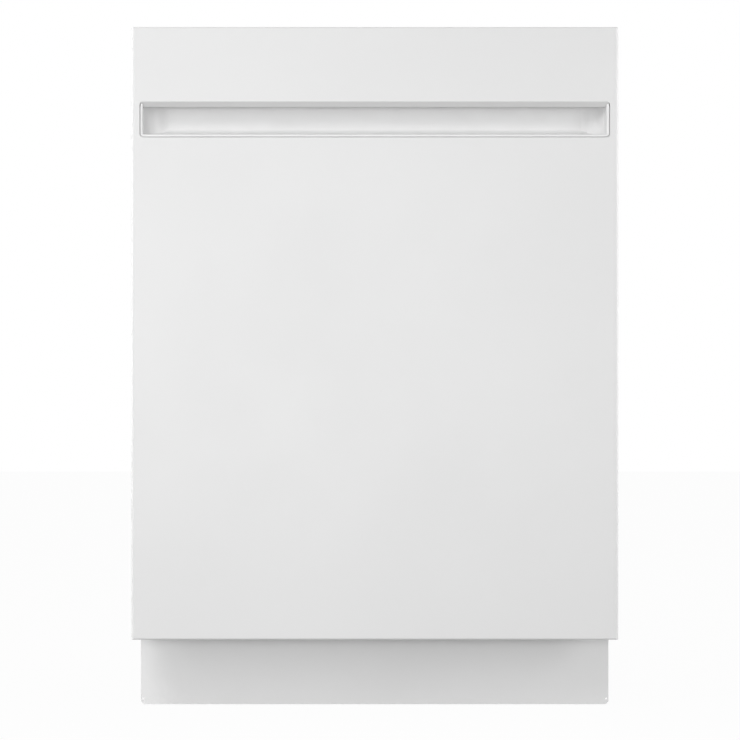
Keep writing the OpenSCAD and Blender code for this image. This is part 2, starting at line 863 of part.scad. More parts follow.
// the cabinet's side of the hinge
module hinge_bracket_right() {
  x1 = bracket_x0 + bracket_t;
  color("darkgray") difference() {
    union() {
      rod_x(bracket_x0, x1, hinge_y, hinge_z, nose_r);
      box(bracket_x0, x1, hinge_y, -172, hinge_z - nose_r, hinge_z + 6);
      box(bracket_x0, x1, base_front + 0.5, -172, 46, hinge_z);
    }
    rod_x(bracket_x0 - 1, x1 + 1, hinge_y, hinge_z, hinge_pin_r + pin_fit);
    for (y = [-205, -188], z = [60, 104]) rod_x(bracket_x0 - 1, x1 + 1, y, z, 2.6);
  }
}
module hinge_bracket_left() { mirrored() hinge_bracket_right(); }

// ---------------------------------------------------------------- water parts

module sump() {
  wall = 3;
  color("gray") difference() {
    union() {
      rod_z(sump_z0, sump_top, sump_x, sump_y, sump_r);
      rod_z(sump_top - 4, sump_top, sump_x, sump_y, sump_r + 8);
      rod_z(sump_z0 - 14, sump_z0 + 1, filter_x, sump_y, 22);
      // the stub the feed duct butts on
      rod_y(sump_y + 30, sump_port, 0, duct_low, duct_r + 2);
    }
    difference() {
      rod_z(sump_z0 + wall, sump_top + 1, sump_x, sump_y, sump_r - wall);
      rod_z(sump_z0, sump_top + 2, 0, hub_y, riser_r);
      // the ledge the coarse filter sits on
      difference() {
        rod_z(sump_top - 4, sump_top - 1, sump_x, sump_y, sump_r);
        rod_z(sump_top - 5, sump_top, sump_x, sump_y, sump_r - wall - 3);
      }
    }
    rod_z(sump_z0 - 10, sump_top, filter_x, sump_y, 18);
    rod_z(sump_z0 + wall, sump_top + 50, 0, hub_y, riser_r - 3);
    // the way out to the feed duct
    rod_y(sump_y, sump_port + 1, 0, duct_low, duct_r - 2);
  }
  color("gray") difference() {
    rod_z(sump_top - 1, 168, 0, hub_y, riser_r);
    rod_z(sump_top - 2, 169, 0, hub_y, riser_r - 3);
    for (a = [0, 90]) translate([0, hub_y, 164]) rotate([0, 0, a])
      cube([30, 6, 5], center = true);
  }
}

module coarse_filter() {
  z0 = sump_top - 0.95;
  color("silver") difference() {
    rod_z(z0, z0 + 2, sump_x, sump_y, sump_r - 3.2);
    rod_z(z0 - 1, z0 + 3, filter_x, sump_y, filter_r + 0.5);
    rod_z(z0 - 1, z0 + 3, 0, hub_y, riser_r + 0.4);
    // drain slots
    for (i = [0:5]) box(sump_x - 14 - 2.5, sump_x - 14 + 2.5 - 3,
                        sump_y - 48 + 14*i, sump_y - 40 + 14*i, z0 - 1, z0 + 3);
  }
}

module filter_cup() {
  z0 = sump_top + 1.4;
  color("dimgray") difference() {
    union() {
      rod_z(sump_z0 + 8, z0 + 1, filter_x, sump_y, filter_r - 4);
      rod_z(z0, z0 + 5, filter_x, sump_y, filter_r + 5);
      box(filter_x - 3, filter_x + 3, sump_y - 26, sump_y + 26, z0 + 4, z0 + 20);
    }
    rod_z(sump_z0 + 10, z0 - 2, filter_x, sump_y, filter_r - 6);
    for (i = [0:7]) translate([filter_x, sump_y, 96]) rotate([0, 0, 45*i + 22.5])
      translate([filter_r - 6, 0, 0]) cube([10, 12, 40], center = true);
  }
}

module wash_pump() {
  z = 75;
  color("black") {
    rod_x(-190, -61, sump_y, z, 40);
    rod_x(-196, -189, sump_y, z, 30);
    rod_x(-62, -34, sump_y, z, 46);
    rod_x(-35, sump_x - sump_r - 0.1, sump_y, z, 14);
    // cooling ribs
    for (x = [-176 : 18 : -86]) rod_x(x, x + 4, sump_y, z, 42);
    // the foot it stands on
    box(-160, -100, sump_y - 24, sump_y + 24, base_z0 + base_t + 0.1, z - 30);
  }
}

module drain_pump() {
  x0 = sump_x + sump_r + 0.1;
  stop_y = 283;
  nose = 2;
  color("black") difference() {
    union() {
      rod_x(x0, 122, sump_y, drain_z + 14, 12);
      rod_x(121, 158, sump_y, drain_z, 30);
      rod_x(157, 212, sump_y, drain_z, 24);
      rod_y(sump_y, stop_y, drain_x, drain_z, drain_r - 1);
      // the hose end with its stop collar and tapered nose
      rod_y(stop_y - 4, stop_y, drain_x, drain_z, drain_r + 3);
      rod_y(stop_y - 1, back_y - nose, drain_x, drain_z, drain_r);
      translate([drain_x, back_y, drain_z]) rotate([90, 0, 0])
        cylinder(r1 = drain_r - 1, r2 = drain_r, h = nose);
    }
    rod_y(sump_y + 20, back_y + 1, drain_x, drain_z, drain_r - 3);
  }
}

module heating_element() {
  a0 = 6;
  color("darkgray") {
    translate([0, hub_y, heater_z]) rotate([0, 0, -90 + a0])
      rotate_extrude(angle = 360 - 2*a0)
        translate([heater_r, 0]) circle(d = heater_d);
    for (a = [-a0, a0])
      rod_z(112, heater_z + 3, heater_r*sin(a), hub_y - heater_r*cos(a), heater_d/2 + 0.4);
  }
}

// the pipe from the sump up the back wall and along the tub's ceiling
module feed_duct() {
  bend = 24;
  elbow_r = duct_r + 1;
  color("gainsboro") {
    rod_y(sump_port + 0.1, duct_y - bend + 1, 0, duct_low, duct_r);
    bend_yz(0, duct_y - bend, duct_low + bend, bend, elbow_r, 270);
    rod_z(duct_low + bend - 1, duct_z - bend + 1, 0, duct_y, duct_r);
    bend_yz(0, duct_y - bend, duct_z - bend, bend, elbow_r, 0);
    rod_y(hub_y - 4, duct_y - bend + 1, 0, duct_z, duct_r);
    // the ceiling spray
    rod_z(duct_z - 22, duct_z + 3, 0, hub_y, 13);
    translate([0, hub_y, duct_z - 30]) cylinder(r1 = 34, r2 = 20, h = 10);
    // the port the upper rack's pipe docks into
    rod_y(246, duct_y + 4, 0, dock_z, 12);
    rod_y(243, 248, 0, dock_z, 15);
    // clips that hold the pipe to the back wall
    for (z = [220, 400, 640, 760]) box(-16, 16, duct_y + 3, tub_back_y - 2.6, z, z + 14);
  }
}

module inlet_valve() {
  x = inlet_x;
  y = inlet_y;
  z0 = base_z0 + base_t + 0.1;
  socket_r = 10.5;
  socket_l = 22;
  color("white") difference() {
    union() {
      plate_xy(x - 26, x + 26, y - 24, y + 24, z0, z0 + 4, 5);
      plate_xy(x - 20, x + 20, y - 18, y + 18, z0 + 3, z0 + 36, 5);
      rod_z(z0 - 3, z0 + 4, x, y, 14);
      // the coil and the outlet spigot
      rod_z(z0 + 35, z0 + 62, x, y, 15);
      rod_x(x + 19, x + 42, y, z0 + 28, 7);
    }
    rod_z(z0 - 4, z0 - 3 + socket_l, x, y, socket_r);
    rod_x(x + 21, x + 43, y, z0 + 28, 5);
  }
}

module junction_box() {
  x0 = box_x - 40;
  x1 = box_x + 40;
  y0 = box_y - 30;
  y1 = box_y + 30;
  z0 = base_z0 + base_t + 0.1 + 11;
  z1 = z0 + 48;
  t = 1.5;
  color("silver") difference() {
    union() {
      box(x0, x1, y0, y1, z0, z1);
      // its feet and the collar of the cable entry
      for (x = [x0 + 3, x1 - 11])
        box(x, x + 8, y0 + 4, y1 - 4, base_z0 + base_t + 0.1, z0 + 1);
      rod_z(z0 - 8, z0 + 1, box_x, box_y, 15);
    }
    box(x0 + t, x1 - t, y0 + t, y1 - t, z0 + t, z1 - t);
    rod_z(z0 - 9, z0 + t + 1, box_x, box_y, 11.1);
  }
}

module overfill_float() {
  x = -198;
  y = -190;
  color("white") difference() {
    union() {
      rod_z(118, floor_z + 12, x, y, 7);
      rod_z(floor_z + 1, floor_z + 24, x, y, 20);
      translate([x, y, floor_z + 24]) cylinder(r1 = 20, r2 = 12, h = 6);
    }
    rod_z(floor_z, floor_z + 21, x, y, 17);
    rod_z(117, floor_z + 1, x, y, 4);
  }
  color("white") rod_z(118, floor_z + 24, x, y, 7);
}

// one spray arm about the origin: two tapering blades on a round hub
module spray_arm(len, h) {
  difference() {
    union() {
      cylinder(r = 34, h = h);
      linear_extrude(h) {
        for (s = [-1, 1]) {
          polygon([[0, -26], [s*(len - 15), -15], [s*(len - 15), 15], [0, 26]]);
          translate([s*(len - 15), 0]) circle(15);
        }
      }
    }
    // the spray holes
    for (s = [-1, 1], k = [0:4])
      translate([s*(55 + k*(len - 75)/4), s*(k % 2 == 0 ? 6 : -6), -1]) cylinder(r = 2.2, h = h + 2);
  }
}

module lower_spray_arm() {
  z0 = 157;
  color("silver") difference() {
    union() {
      translate([0, hub_y, z0]) rotate([0, 0, 24]) spray_arm(205, 12);
      rod_z(z0, z0 + 17, 0, hub_y, 20);
    }
    rod_z(z0 - 1, 168.6, 0, hub_y, riser_r + 0.08);
  }
}

module upper_spray_arm() {
  z0 = 446;
  color("silver") difference() {
    union() {
      translate([0, hub_y, z0]) rotate([0, 0, -31]) spray_arm(190, 11);
      rod_z(z0 - 4, z0 + 14, 0, hub_y, 18);
    }
    rod_z(z0 + 4, z0 + 15, 0, hub_y, riser_r - 1 + 0.08);
  }
}

module upper_feed_pipe() {
  r = 9;
  z_top = upper_z - wire_d/2 - 0.1;
  color("gainsboro") {
    rod_y(hub_y, 242, 0, dock_z, r);
    rod_y(230, 242.5, 0, dock_z, 14);
    rod_z(451, dock_z, 0, hub_y, riser_r - 1);
    rod_z(461.5, dock_z, 0, hub_y, 20);
    // clips under the rack's floor wires
    for (y = [40, 130, 210]) box(-14, 14, y - 5, y + 5, dock_z, z_top);
  }
}

// ---------------------------------------------------------------- levelling legs

module leg(x, y) {
  color("darkgray") {
    rod_z(0, 6, x, y, foot_r);
    translate([x, y, 5]) cylinder(r1 = foot_r - 1, r2 = 10, h = 5);
    translate([x, y, 9]) cylinder(r = 9.5, h = 8, $fn = 6);
    rod_z(8, 100, x, y, leg_r);
  }
}
module leg_front_left() { leg(-leg_x, leg_front); }
module leg_front_right() { leg(leg_x, leg_front); }
module leg_rear_left() { leg(-leg_x, leg_back); }
module leg_rear_right() { leg(leg_x, leg_back); }

// ---------------------------------------------------------------- slides

// a channel open towards the middle, about the rail's height
module channel(x0, x1, half, t, y0, y1) {
  box(x1 - t, x1, y0, y1, rail_z - half, rail_z + half);
  for (s = [-1, 1])
    box(x0, x1, y0, y1, rail_z + (s > 0 ? half - t : -half), rail_z + (s > 0 ? half : t - half));
}

module outer_rail_right() {
  color("lightsteelblue") {
    channel(261, 274, 16, 1.6, rail_front, rail_back);
    for (y = [-190, 0, 190])
      box(273.5, tub_half - tub_t - 0.05, y - 14, y + 14, rail_z - 9, rail_z + 9);
  }
}
module outer_rail_left() { mirrored() outer_rail_right(); }

module middle_rail_right() {
  color("lightsteelblue") channel(258.5, 271.5, 13.6, 1.6, rail_front + 2, rail_back - 2);
}
module middle_rail_left() { mirrored() middle_rail_right(); }

module inner_rail_right() {
  color("lightsteelblue") {
    channel(256, 269, 11.3, 1.6, rail_front + 4, rail_back - 4);
    // the brackets that clamp the rack's side wires
    for (y = [-150, 150])
      box(rack_half + wire_d/2 - 0.8, 268, y - 16, y + 16, rail_z - 8, rail_z + 8);
  }
}
module inner_rail_left() { mirrored() inner_rail_right(); }

// ---------------------------------------------------------------- racks

// a wire bent to a U across X, standing at one depth
module u_wire_x(y, half, z0, z1, r) {
  c = rack_corner;
  rod_x(-half + c, half - c, y, z0, r);
  for (s = [-1, 1]) {
    rod_z(z0 + c, z1, s*half, y, r);
    bend_xz(s*(half - c), y, z0 + c, c, r, s > 0 ? 270 : 180);
  }
}

// a wire bent to a U along Y, standing at one width
module u_wire_y(x, y0, y1, z0, z1, r) {
  c = rack_corner;
  rod_y(y0 + c, y1 - c, x, z0, r);
  rod_z(z0 + c, z1, x, y0, r);
  rod_z(z0 + c, z1, x, y1, r);
  bend_yz(x, y0 + c, z0 + c, c, r, 180);
  bend_yz(x, y1 - c, z0 + c, c, r, 270);
}

// a level ring of wire with round corners
module ring_wire(half, y0, y1, z, r) {
  c = rack_corner;
  for (y = [y0, y1]) rod_x(-half + c, half - c, y, z, r);
  for (s = [-1, 1]) {
    rod_y(y0 + c, y1 - c, s*half, z, r);
    bend_xy(s*(half - c), y0 + c, z, c, r, s > 0 ? 270 : 180);
    bend_xy(s*(half - c), y1 - c, z, c, r, s > 0 ? 0 : 90);
  }
}

module upper_rack() {
  r = wire_d/2;
  wires_x = [-186, -150, -112, -74, -36, 2, 40, 78, 116, 154, 194];
  wires_y = [-190, -128, -64, 0, 64, 128, 190];
  color("white") {
    ring_wire(rack_half, rack_front, rack_back, upper_rim, rim_d/2);
    ring_wire(rack_half - 0.8, rack_front + 0.8, rack_back - 0.8, 540, r);
    for (y = wires_x) u_wire_x(y, rack_half - 0.9, upper_z, upper_rim, r);
    for (x = wires_y) u_wire_y(x, rack_front + 0.9, rack_back - 0.9, upper_z + 2.2, upper_rim, r);
    // two rows of upright tines for cups and glasses
    for (y = [-74, 40], k = [0:6]) rod_z(upper_z, upper_z + 62, -96 + 48*k + 7, y, 1.6);
    // the saddles that hold the cup shelf's rod
    for (y = [-112, 78]) difference() {
      box(shelf_x - 13, shelf_x + 4.5, y - 4, y + 4, shelf_z - 5, shelf_z + 5);
      rod_y(y - 5, y + 5, shelf_x, shelf_z, 2.5 + pin_fit);
    }
  }
}

module cup_shelf() {
  reach = 78;
  y0 = -140;
  y1 = 106;
  color("gainsboro") {
    rod_y(y0, y1, shelf_x, shelf_z, 2.5);
    difference() {
      box(shelf_x + 7, shelf_x + reach, y0 + 4, y1 - 4, shelf_z - 1.5, shelf_z + 1.5);
      for (i = [0:2], j = [0:6])
        box(shelf_x + 13 + 21*i, shelf_x + 29 + 21*i, y0 + 12 + 33*j, y0 + 36 + 33*j,
            shelf_z - 3, shelf_z + 3);
    }
    // the knuckles between the rod and the plate, clear of the saddles
    for (y = [-130, -60, -10, 40, 96]) box(shelf_x, shelf_x + 8, y - 6, y + 6,
                                           shelf_z - 1.4, shelf_z + 1.4);
    rod_y(y0 + 4, y1 - 4, shelf_x + reach, shelf_z, 2.2);
  }
}

module lower_rack() {
  r = wire_d/2;
  wires_x = [-196, -161, -126, -92, -58, -12, 34, 126, 172];
  wires_y = [-190, -128, -64, 0, 64, 128, 190];
  color("white") {
    ring_wire(rack_half, rack_front, lower_back, lower_rim, rim_d/2);
    ring_wire(rack_half - 0.8, rack_front + 0.8, lower_back - 0.8, 245, r);
    for (y = wires_x) u_wire_x(y, rack_half - 0.9, lower_z, lower_rim, r);
    for (x = wires_y) u_wire_y(x, rack_front + 0.9, lower_back - 0.9, lower_z + 2.2, lower_rim, r);
    // two fixed rows of plate tines
    for (y = [-58, -12], k = [0:11]) rod_z(lower_z, lower_z + 78, -176 + 32*k + 5, y, 1.7);
    // the saddles that hold the folding row's rod
    for (x = [-190, 0, 190]) difference() {
      box(x - 5, x + 5, fold_tine_y - 6, fold_tine_y + 6, lower_z + 1, fold_tine_z + 6);
      rod_x(x - 6, x + 6, fold_tine_y, fold_tine_z, 2.5 + pin_fit);
    }
    // the wheel carriers and their stub axles
    for (s = [-1, 1], y = [wheel_front, wheel_back]) {
      x0 = rack_half - 3;
      x1 = rack_half + 3.5;
      box(min(s*x0, s*x1), max(s*x0, s*x1), y - 16, y + 16, 148, 210);
      rod_x(min(s*x0, s*262), max(s*x0, s*262), y, axle_z, axle_r);
      rod_x(min(s*260.5, s*263), max(s*260.5, s*263), y, axle_z, axle_r + 2);
    }
  }
}

module wheel(s, y) {
  z = axle_z;
  x0 = wheel_x - wheel_w/2;
  x1 = wheel_x + wheel_w/2;
  color("lightgray") translate([s*wheel_x, y, z]) rotate([0, 90, 0]) difference() {
    cylinder(r = wheel_r - 0.2, h = wheel_w, center = true);
    for (k = [-1, 1]) translate([0, 0, k*wheel_w/2]) difference() {
      cylinder(r = wheel_r - 4, h = 5, center = true);
      cylinder(r = 6.5, h = 6, center = true);
    }
    cylinder(r = axle_r + pin_fit, h = wheel_w + 2, center = true);
  }
}
module wheel_front_left() { wheel(-1, wheel_front); }
module wheel_front_right() { wheel(1, wheel_front); }
module wheel_rear_left() { wheel(-1, wheel_back); }
module wheel_rear_right() { wheel(1, wheel_back); }

module folding_tines() {
  pitch = 34;
  color("white") {
    rod_x(-204, 204, fold_tine_y, fold_tine_z, 2.5);
    for (k = [-5:5]) if (k != 0) rod_z(fold_tine_z, fold_tine_z + 72, pitch*k, fold_tine_y, 1.7);
  }
}

module silverware_basket() {
  w = 220;
  d = 84;
  h = 118;
  t = 2;
  y_mid = -168;
  z0 = lower_z + 2.2 + wire_d/2 + 0.3;
  cells = 3;
  pitch = w/cells;
  color("gainsboro") translate([0, y_mid, z0]) {
    difference() {
      linear_extrude(h) round_rect(w, d, 8);
      // the cells, in two rows
      for (i = [0:cells - 1], s = [-1, 1])
        translate([-w/2 + pitch*(i + 0.5), s*(d/4), t])
          linear_extrude(h) round_rect(pitch - t, d/2 - t, 3);
      // windows in the long walls
      for (i = [0:cells - 1], j = [0:2])
        translate([-w/2 + pitch*(i + 0.5), 0, 26 + 30*j]) cube([pitch - 18, d + 4, 18], center = true);
      // windows in the short walls
      for (s = [-1, 1], j = [0:2])
        translate([0, s*d/4, 26 + 30*j]) cube([w + 4, d/2 - 18, 18], center = true);
      // drain holes
      for (i = [0:cells - 1], s = [-1, 1], u = [-1, 1])
        translate([-w/2 + pitch*(i + 0.5) + u*12, s*(d/4), -1]) cylinder(r = 5, h = t + 2);
    }
    // the carrying bail
    for (s = [-1, 1]) box(s*60 - 4, s*60 + 4, -2, 2, h - 6, h + 26);
    rod_x(-60, 60, 0, h + 26, 4);
    for (s = [-1, 1]) translate([s*60, 0, h + 26]) sphere(4);
  }
}

tub_wrap();
tub_back();
tub_floor();
door_sill();
door_gasket();
insulation_blanket();
base_pan();
toe_kick();
mounting_tab_left();
mounting_tab_right();
strike_plate();
hinge_bracket_left();
hinge_bracket_right();
outer_rail_left();
outer_rail_right();
sump();
coarse_filter();
filter_cup();
wash_pump();
drain_pump();
heating_element();
feed_duct();
inlet_valve();
junction_box();
overfill_float();
lower_spray_arm();
leg_front_left();
leg_front_right();
leg_rear_left();
leg_rear_right();
middle_rail_left();
middle_rail_right();
upper_rack();
inner_rail_left();
inner_rail_right();
upper_feed_pipe();
upper_spray_arm();
cup_shelf();
lower_rack();
wheel_front_left();
wheel_front_right();
wheel_rear_left();
wheel_rear_right();
folding_tines();
silverware_basket();
door_panel();
pocket_handle();
inner_door();
control_console();
latch_pawl();
power_button();
cycle_button();
options_button();
start_button();
detergent_dispenser();
detergent_lid();
rinse_cap();
hinge_arm_left();
hinge_arm_right();
bottom_seal();
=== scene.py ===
"""Studio scene of a built-in dishwasher: finishes for the solid parts, fine pieces, light and camera.

Lengths and places are in millimetres where nothing else is said; the studio's are in metres.
"""

import logging
import math
from dataclasses import dataclass
from enum import Enum
from typing import Any, Iterable, Sequence

import bmesh
import bpy
from mathutils import Matrix, Vector, noise

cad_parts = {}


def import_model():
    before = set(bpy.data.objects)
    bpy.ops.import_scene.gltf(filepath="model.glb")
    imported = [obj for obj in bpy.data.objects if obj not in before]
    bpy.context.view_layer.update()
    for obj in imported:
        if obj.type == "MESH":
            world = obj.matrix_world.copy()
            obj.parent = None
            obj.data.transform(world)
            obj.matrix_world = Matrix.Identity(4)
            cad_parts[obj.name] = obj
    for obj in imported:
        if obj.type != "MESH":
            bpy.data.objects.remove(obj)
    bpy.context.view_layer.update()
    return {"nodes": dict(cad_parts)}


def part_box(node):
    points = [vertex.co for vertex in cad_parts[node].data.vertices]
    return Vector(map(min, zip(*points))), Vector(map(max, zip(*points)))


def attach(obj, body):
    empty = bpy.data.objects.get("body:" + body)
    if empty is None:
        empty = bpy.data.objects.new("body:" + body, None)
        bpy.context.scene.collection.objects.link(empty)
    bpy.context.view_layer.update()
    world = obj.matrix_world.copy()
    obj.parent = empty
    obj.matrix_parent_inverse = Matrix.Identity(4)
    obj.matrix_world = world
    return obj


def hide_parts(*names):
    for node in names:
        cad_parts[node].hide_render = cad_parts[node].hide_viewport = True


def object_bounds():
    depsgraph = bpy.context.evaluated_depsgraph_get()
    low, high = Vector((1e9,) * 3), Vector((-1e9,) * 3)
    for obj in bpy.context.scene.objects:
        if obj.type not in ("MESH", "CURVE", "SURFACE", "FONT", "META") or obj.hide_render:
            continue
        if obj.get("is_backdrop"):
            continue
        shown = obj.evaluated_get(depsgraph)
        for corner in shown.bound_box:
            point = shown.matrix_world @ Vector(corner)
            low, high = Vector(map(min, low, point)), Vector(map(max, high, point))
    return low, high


LOG = logging.getLogger("dishwasher")
MM = 0.001
WELD = 0.00001
POLE_WELD = 0.00002
CORNER_FLATS = 5
EDGE_FLATS = 2


Tree = bpy.types.NodeTree
Socket = bpy.types.NodeSocket
Vert = bmesh.types.BMVert


class Grain(Enum):
    """The way a brushed or rolled surface's lines run."""

    ALONG_X = (0.012, 1.0, 1.0)
    ALONG_Y = (1.0, 0.012, 1.0)


# ---- colours and nodes


def linear(code: str) -> tuple[float, float, float, float]:
    """Turns an sRGB hex colour into linear light.

    Args:
        code: Six hex digits with a leading hash.

    Returns:
        Red, green, blue and an alpha of 1.
    """
    values = [int(code[i : i + 2], 16) / 255 for i in (1, 3, 5)]
    red, green, blue = (v / 12.92 if v <= 0.04045 else ((v + 0.055) / 1.055) ** 2.4 for v in values)
    return red, green, blue, 1.0


def per_mm(size: float) -> float:
    """Gives the pattern scale whose features are a number of millimetres across.

    Args:
        size: The width of one feature.

    Returns:
        The scale for a texture on coordinates in metres.
    """
    return 1000.0 / size


def add_node(tree: Tree, kind: str, inputs: dict[Any, Any] | None = None, **settings: Any) -> bpy.types.Node:
    """Adds a node with its settings, its values and its links.

    Args:
        tree: The node tree to add to.
        kind: The node's type.
        inputs: Input name or number to a value, or to the socket it is linked from.
        **settings: Attributes of the node.

    Returns:
        The new node.
    """
    node = tree.nodes.new(kind)
    for name, value in settings.items():
        setattr(node, name, value)
    for key, value in (inputs or {}).items():
        if isinstance(value, Socket):
            tree.links.new(value, node.inputs[key])
        else:
            node.inputs[key].default_value = value
    return node


# ---- finishes


@dataclass(frozen=True)
class Skin:
    """A material in the making: its colour and roughness, its nodes and the object's own coordinates."""

    colour: str
    roughness: float
    tree: Tree
    shader: bpy.types.Node
    place: Socket

    def noise(self, size: float, detail: float = 2.0, place: Socket | None = None) -> Socket:
        """Adds a noise whose features are a number of millimetres across.

        Args:
            size: Feature width.
            detail: Octaves of finer noise.
            place: Other coordinates to read than the object's own.

        Returns:
            The noise's value socket.
        """
        coordinates = self.place if place is None else place
        inputs = {"Vector": coordinates, "Scale": per_mm(size), "Detail": detail}
        return add_node(self.tree, "ShaderNodeTexNoise", inputs).outputs["Fac"]

    def stretched(self, **settings: Sequence[float]) -> Socket:
        """Turns or stretches the coordinates.

        Args:
            **settings: The mapping's Scale or Rotation.

        Returns:
            The new coordinates.
        """
        return add_node(self.tree, "ShaderNodeMapping", {"Vector": self.place, **settings}).outputs["Vector"]

    def vary_colour(self, value: Socket, other: str, low: float = 0.3, high: float = 0.7) -> None:
        """Mixes the base colour with another one by a value.

        Args:
            value: The value that mixes them.
            other: The other colour.
            low: The value below which only the base colour shows.
            high: The value above which only the other colour shows.
        """
        fade = add_node(self.tree, "ShaderNodeMapRange", {"Value": value, "From Min": low, "From Max": high})
        mix = add_node(
            self.tree, "ShaderNodeMix",
            {0: fade.outputs["Result"], 6: linear(self.colour), 7: linear(other)}, data_type="RGBA",
        )
        self.tree.links.new(mix.outputs[2], self.shader.inputs["Base Color"])

    def vary_roughness(self, value: Socket, spread: float) -> None:
        """Lets the roughness wander about its own value.

        Args:
            value: The value that drives it.
            spread: How far it goes either way.
        """
        inputs = {
            "Value": value, "From Min": 0.25, "From Max": 0.75,
            "To Min": self.roughness - spread, "To Max": self.roughness + spread,
        }
        fade = add_node(self.tree, "ShaderNodeMapRange", inputs)
        self.tree.links.new(fade.outputs["Result"], self.shader.inputs["Roughness"])

    def bump(self, height: Socket, depth: float, strength: float = 1.0) -> None:
        """Adds relief of a real depth.

        Args:
            height: The relief's height, 0 to 1.
            depth: The depth.
            strength: How much of it shows.
        """
        inputs = {"Height": height, "Distance": depth * MM, "Strength": strength}
        relief = add_node(self.tree, "ShaderNodeBump", inputs)
        self.tree.links.new(relief.outputs["Normal"], self.shader.inputs["Normal"])


@dataclass(frozen=True)
class Finish:
    """What every finish has: a colour, a roughness and a skin that a subclass adds its pattern to."""

    name: str
    colour: str
    roughness: float
    metallic: float = 0.0
    ior: float = 1.5

    def build(self) -> bpy.types.Material:
        """Makes the material, or finds the one already made.

        Returns:
            The material.
        """
        made = bpy.data.materials.get(self.name)
        if made:
            return made
        material = bpy.data.materials.new(self.name)
        material.use_nodes = True
        tree = material.node_tree
        shader = tree.nodes["Principled BSDF"]
        shader.inputs["Base Color"].default_value = linear(self.colour)
        shader.inputs["Roughness"].default_value = self.roughness
        shader.inputs["Metallic"].default_value = self.metallic
        if self.metallic == 0:
            shader.inputs["IOR"].default_value = self.ior
        place = tree.nodes.new("ShaderNodeTexCoord").outputs["Object"]
        self.pattern(Skin(self.colour, self.roughness, tree, shader, place))
        return material

    def pattern(self, skin: Skin) -> None:
        """Adds the finish's own detail; the plain finish has none."""


@dataclass(frozen=True)
class Clouded(Finish):
    """A skin whose shade, gloss and relief each wander at a size of their own."""

    cloud: str = "#9A9C9E"
    cloud_size: float = 40.0
    cloud_detail: float = 2.0
    cloud_range: tuple[float, float] = (0.3, 0.7)
    gloss_size: float = 12.0
    gloss_spread: float = 0.04
    texture: float = 0.9
    texture_detail: float = 3.0
    depth: float = 0.02

    def pattern(self, skin: Skin) -> None:
        """Adds the cloudiness, the wander of gloss and the texture."""
        skin.vary_colour(skin.noise(self.cloud_size, self.cloud_detail), self.cloud, *self.cloud_range)
        skin.vary_roughness(skin.noise(self.gloss_size), self.gloss_spread)
        if self.depth:
            skin.bump(skin.noise(self.texture, self.texture_detail), self.depth)


@dataclass(frozen=True)
class Moulded(Clouded):
    """Injection-moulded plastic: a spark-eroded texture that keeps its shine soft, a slight cloudiness."""


@dataclass(frozen=True)
class PowderCoat(Clouded):
    """Stoved powder coat on sheet steel: a soft even white with a faint orange-peel ripple in its gloss."""

    cloud_size: float = 260.0
    gloss_size: float = 90.0
    gloss_spread: float = 0.02
    texture: float = 2.2
    texture_detail: float = 1.0
    depth: float = 0.006


@dataclass(frozen=True)
class NylonCoat(Clouded):
    """Nylon dipped over steel wire: a smooth satin skin with the runs and waves that the dip leaves."""

    cloud: str = "#B4B6B8"
    cloud_size: float = 30.0
    gloss_size: float = 6.0
    gloss_spread: float = 0.05
    texture: float = 3.5
    texture_detail: float = 1.0
    depth: float = 0.05


@dataclass(frozen=True)
class Rubber(Clouded):
    """Extruded EPDM rubber: near black, dull, with a dusty bloom."""

    cloud: str = "#2E2F30"
    cloud_size: float = 18.0
    cloud_detail: float = 3.0
    cloud_range: tuple[float, float] = (0.4, 0.8)
    gloss_size: float = 9.0
    gloss_spread: float = 0.06
    texture: float = 0.8
    depth: float = 0.03


@dataclass(frozen=True)
class HeatedTube(Clouded):
    """Nickel-alloy heater tube, drawn smooth: a brown-grey oxide that drifts in tint along it."""

    cloud: str = "#5E5148"
    cloud_size: float = 55.0
    cloud_detail: float = 4.0
    gloss_size: float = 4.0
    gloss_spread: float = 0.08
    depth: float = 0.0


@dataclass(frozen=True)
class BrushedSteel(Finish):
    """Stainless sheet, belt-brushed: long fine lines that draw the highlights out across them."""

    grain: Grain = Grain.ALONG_X
    line: float = 0.5
    light: str = "#D2D2D0"

    def pattern(self, skin: Skin) -> None:
        """Adds the brushing: drawn a little coarser than the real 0.1 mm scratches so that it shows."""
        lines = skin.noise(self.line, 3.0, skin.stretched(Scale=self.grain.value))
        skin.vary_colour(lines, self.light)
        skin.vary_roughness(lines, 0.07)
        skin.bump(lines, 0.01, 0.5)


@dataclass(frozen=True)
class Galvanised(Finish):
    """Zinc-coated steel: dull grey with the broken patches of zinc crystals."""

    spangle: float = 7.0
    light: str = "#B9BDC0"

    def pattern(self, skin: Skin) -> None:
        """Adds the crystal patches and a slight wander of gloss."""
        inputs = {"Vector": skin.place, "Scale": per_mm(self.spangle)}
        cells = add_node(skin.tree, "ShaderNodeTexVoronoi", inputs).outputs["Color"]
        patch = add_node(skin.tree, "ShaderNodeSeparateColor", {"Color": cells}).outputs["Red"]
        skin.vary_colour(patch, self.light, 0.0, 1.0)
        skin.vary_roughness(patch, 0.08)
        skin.bump(skin.noise(1.2), 0.01)


